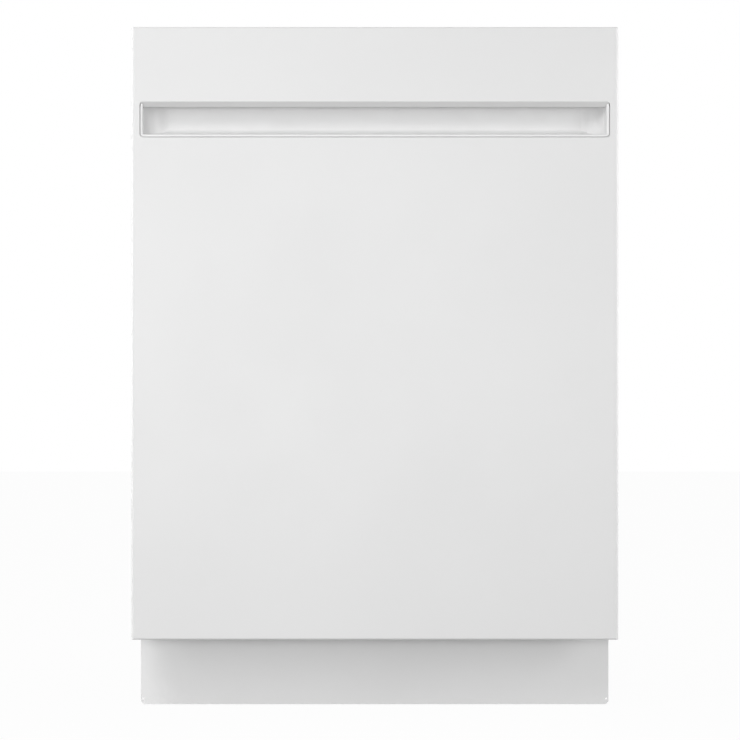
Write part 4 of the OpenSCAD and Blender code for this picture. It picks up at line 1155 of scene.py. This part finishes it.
@dataclass
class TopControls:
    """What shows on the console along the door's top edge: the display pane, its lamps and the key marks."""

    keys: tuple[tuple[str, str, float], ...] = (
        ("key_power", "power_button", -176.0), ("key_cycle", "cycle_button", -146.0),
        ("key_options", "options_button", 146.0), ("key_start", "start_button", 176.0),
    )
    key_y: float = -276.0
    pane_half: tuple[float, float] = (94.6, 8.6)
    pane_sink: tuple[float, float] = (0.8, 0.05)
    pane_corner: float = 3.6
    pane_edge: float = 0.25
    lamp_x: tuple[float, ...] = (-124.0, -116.0, -108.0, 108.0, 116.0, 124.0)
    digit_x: tuple[float, ...] = (-16.0, 0.0, 16.0)
    digit_half: tuple[float, float] = (3.4, 5.2)
    cross_bar: tuple[float, float] = (2.6, 0.5)
    upright_bar: tuple[float, float] = (0.5, 1.9)
    upright_y: float = 2.6
    bar_corner: float = 0.3
    ring_span: tuple[float, float] = (2.6, 3.3)
    ring_turn: float = 290.0
    ring_start: float = -235.0
    triangle_radius: float = 3.6
    mark_bar: tuple[float, float] = (3.0, 0.4)
    mark_pitch: float = 2.6
    mark_corner: float = 0.2

    def pane(self, top: float) -> None:
        """Lays the smoked pane in its window and a row of lamp lenses at each end of it.

        Args:
            top: The console's top.
        """
        work = Workpiece("display_pane", Mount("door", "console_plastic", SMOKED_PANE))
        low, high = (top - sink for sink in self.pane_sink)
        work.block((0, self.key_y), self.pane_half, (low, high), self.pane_corner, self.pane_edge)
        work.done(crease=25)
        mount = Mount("door", "light_moulding", LAMP_LENS)
        lens = Workpiece("lens", mount)
        lens.turned([(0, -0.5), (1.3, -0.5), (1.3, 0.1), (0.9, 0.35), (0, 0.42)], 14)
        feet = [((x, self.key_y, top - 0.02), Vector((0, 0, 1))) for x in self.lamp_x]
        stamped("cycle_lamps", mount, lens, feet, crease=25)

    def digits(self, top: float) -> None:
        """Lays the unlit bars of a three-figure timer just on the pane.

        Args:
            top: The console's top.
        """
        work = Workpiece("timer_bars", Mount("door", "console_plastic", UNLIT_BAR))
        level = (top - 0.1, top - 0.02)
        half_x, half_y = self.digit_half
        for x in self.digit_x:
            for y in (-half_y, 0, half_y):
                work.block((x, self.key_y + y), self.cross_bar, level, self.bar_corner)
            for side in (-half_x, half_x):
                for y in (-self.upright_y, self.upright_y):
                    work.block((x + side, self.key_y + y), self.upright_bar, level, self.bar_corner)
        work.done(crease=25)

    def ring(self, work: Workpiece, x: float, level: tuple[float, float]) -> None:
        """Marks a key with a broken ring and an upright bar in its gap.

        Args:
            work: The mark's workpiece.
            x: The key's middle.
            level: The heights of the mark's underside and top.
        """
        low, high = level
        centre = (x * MM, self.key_y * MM, 0)
        inner, outer = (x + radius for radius in self.ring_span)
        corners = ((inner, low), (outer, low), (outer, high), (inner, high))
        points = [(across, self.key_y, up) for across, up in corners]
        work.carry(points, [(centre, math.radians(self.ring_turn), (0, 0, 0), 24)], axis=(0, 0, 1))
        turn = Matrix.Rotation(math.radians(self.ring_start), 3, "Z")
        bmesh.ops.rotate(work.bm, verts=work.bm.verts, cent=centre, matrix=turn)
        work.block((x, self.key_y + 1.7), (0.35, 2.1), level, 0.15)

    def triangle(self, work: Workpiece, x: float, level: tuple[float, float]) -> None:
        """Marks a key with a triangle that points to the side.

        Args:
            work: The mark's workpiece.
            x: The key's middle.
            level: The heights of the mark's underside and top.
        """
        low, high = level
        radius = self.triangle_radius * MM
        tip = bmesh.ops.create_circle(work.bm, cap_ends=True, segments=3, radius=radius)["verts"]
        turn = Matrix.Rotation(math.radians(-90), 3, "Z")
        bmesh.ops.rotate(work.bm, verts=tip, cent=(0, 0, 0), matrix=turn)
        bmesh.ops.translate(work.bm, verts=tip, vec=(x * MM, self.key_y * MM, low * MM))
        bmesh.ops.translate(work.bm, verts=work.doubled(), vec=(0, 0, (high - low) * MM))

    def marks(self) -> None:
        """Prints a plain sign on each key: a broken ring, two bars, three bars and a triangle."""
        for number, (body, node, x) in enumerate(self.keys):
            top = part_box(node)[1].z / MM
            work = Workpiece(node + "_mark", Mount(body, "key_plastic", KEY_PRINT))
            level = (top - 0.02, top + 0.05)
            if number == 0:
                self.ring(work, x, level)
            elif number == 3:
                self.triangle(work, x, level)
            else:
                for bar in range(1 + number):
                    y = self.key_y + (bar - number / 2) * self.mark_pitch
                    work.block((x, y), self.mark_bar, level, self.mark_corner)
            work.done(crease=25)

    def build(self) -> None:
        """Makes the whole set."""
        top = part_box("control_console")[1].z / MM
        self.pane(top)
        self.digits(top)
        self.marks()


# ---- studio


@dataclass(frozen=True)
class Softbox:
    """One soft light: where it hangs, the point it faces, its width and height in metres, its watts."""

    name: str
    place: tuple[float, float, float]
    aim: tuple[float, float, float]
    size: tuple[float, float]
    power: float

    def hang(self) -> None:
        """Hangs the light."""
        light = bpy.data.lights.new(self.name, "AREA")
        light.shape = "RECTANGLE"
        light.size, light.size_y = self.size
        light.energy = self.power
        lamp = bpy.data.objects.new(self.name, light)
        lamp.location = self.place
        lamp.rotation_euler = (Vector(self.aim) - Vector(self.place)).to_track_quat("-Z", "Y").to_euler()
        bpy.context.scene.collection.objects.link(lamp)


@dataclass
class Studio:
    """The pale floor, the soft light and the camera."""

    floor_half: float = 9.0
    floor_white: float = 0.97
    distance: float = 3.92
    span: float = 0.9153
    centre_x: float = -0.0059
    centre_z: float = 0.4237
    sky: float = 0.31
    softboxes: tuple[Softbox, ...] = (
        Softbox("key_softbox", (-1.35, -2.3, 2.5), (0, -0.3, 0.5), (1.3, 1.3), 34.0),
        Softbox("front_softbox", (-0.6, -4.6, 0.5), (0, -0.3, 0.4), (2.4, 0.9), 49.0),
        Softbox("right_wing_softbox", (2.3, -2.2, 0.9), (0, -0.3, 0.55), (0.9, 1.3), 16.0),
        Softbox("left_wing_softbox", (-2.3, -2.2, 0.9), (0, -0.3, 0.55), (0.9, 1.3), 9.0),
        Softbox("right_softbox", (2.4, 0.05, 0.8), (0.3, -0.2, 0.5), (1.2, 1.2), 26.0),
        Softbox("left_softbox", (-2.4, 0.05, 0.8), (-0.3, -0.2, 0.5), (1.2, 1.2), 26.0),
    )

    def whitened(self, tree: Tree, plain: Socket, glow: str, strength: float) -> Socket:
        """Covers a shader with a white that only the camera, mirrors and glass see.

        Args:
            tree: The node tree to add to.
            plain: The shader that lights and shadows meet.
            glow: The type of the node that is white.
            strength: How much of the white covers what is under it.

        Returns:
            The mixed shader.
        """
        white = add_node(tree, glow, {"Color": (1, 1, 1, 1), "Strength": 1.0})
        path = tree.nodes.new("ShaderNodeLightPath")
        share = path.outputs["Is Camera Ray"]
        for other in ("Is Glossy Ray", "Is Transmission Ray"):
            either = add_node(tree, "ShaderNodeMath", {0: share, 1: path.outputs[other]}, operation="MAXIMUM")
            share = either.outputs[0]
        part = add_node(tree, "ShaderNodeMath", {0: share, 1: strength}, operation="MULTIPLY").outputs[0]
        mix = add_node(tree, "ShaderNodeMixShader", {0: part, 1: plain, 2: white.outputs[0]})
        return mix.outputs["Shader"]

    def floor(self) -> None:
        """Lays the pale floor, which keeps a soft shadow."""
        bm = bmesh.new()
        bmesh.ops.create_grid(bm, x_segments=1, y_segments=1, size=self.floor_half)
        mesh = bpy.data.meshes.new("studio_floor")
        bm.to_mesh(mesh)
        bm.free()
        plane = bpy.data.objects.new("studio_floor", mesh)
        bpy.context.scene.collection.objects.link(plane)
        material = FLOOR_PAINT.build()
        tree = material.node_tree
        plain = tree.nodes["Principled BSDF"].outputs["BSDF"]
        mixed = self.whitened(tree, plain, "ShaderNodeEmission", self.floor_white)
        tree.links.new(mixed, tree.nodes["Material Output"].inputs["Surface"])
        mesh.materials.append(material)
        plane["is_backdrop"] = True

    def world(self) -> None:
        """Fills the room with even light and a white backdrop."""
        world = bpy.data.worlds.new("studio_world")
        bpy.context.scene.world = world
        world.use_nodes = True
        tree = world.node_tree
        room = tree.nodes["Background"]
        room.inputs["Color"].default_value = (1, 1, 1, 1)
        room.inputs["Strength"].default_value = self.sky
        mixed = self.whitened(tree, room.outputs["Background"], "ShaderNodeBackground", 1.0)
        tree.links.new(mixed, tree.nodes["World Output"].inputs["Surface"])

    def camera(self) -> None:
        """Sets the level camera straight in front of the door."""
        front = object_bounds()[0].y
        data = bpy.data.cameras.new("studio_camera")
        data.lens = data.sensor_width * self.distance / self.span
        camera = bpy.data.objects.new("studio_camera", data)
        camera.location = (self.centre_x, front - self.distance, self.centre_z)
        camera.rotation_euler = (math.radians(90), 0, 0)
        bpy.context.scene.collection.objects.link(camera)
        bpy.context.scene.camera = camera

    def build(self) -> None:
        """Makes the whole studio."""
        self.floor()
        self.world()
        for softbox in self.softboxes:
            softbox.hang()
        self.camera()
        bpy.context.scene.view_settings.view_transform = "Standard"
        LOG.info("studio: floor, %d softboxes and a level camera", len(self.softboxes))


def main() -> None:
    """Builds the scene in order."""
    logging.basicConfig(level=logging.INFO, format="%(name)s: %(message)s")
    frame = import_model()
    dress_nodes(frame["nodes"])
    InsulationBlanket().build()
    DoorSeals().build()
    Fasteners().build()
    LegThreads().build()
    TineTips().build()
    TopControls().build()
    Studio().build()


if __name__ == "__main__":
    main()
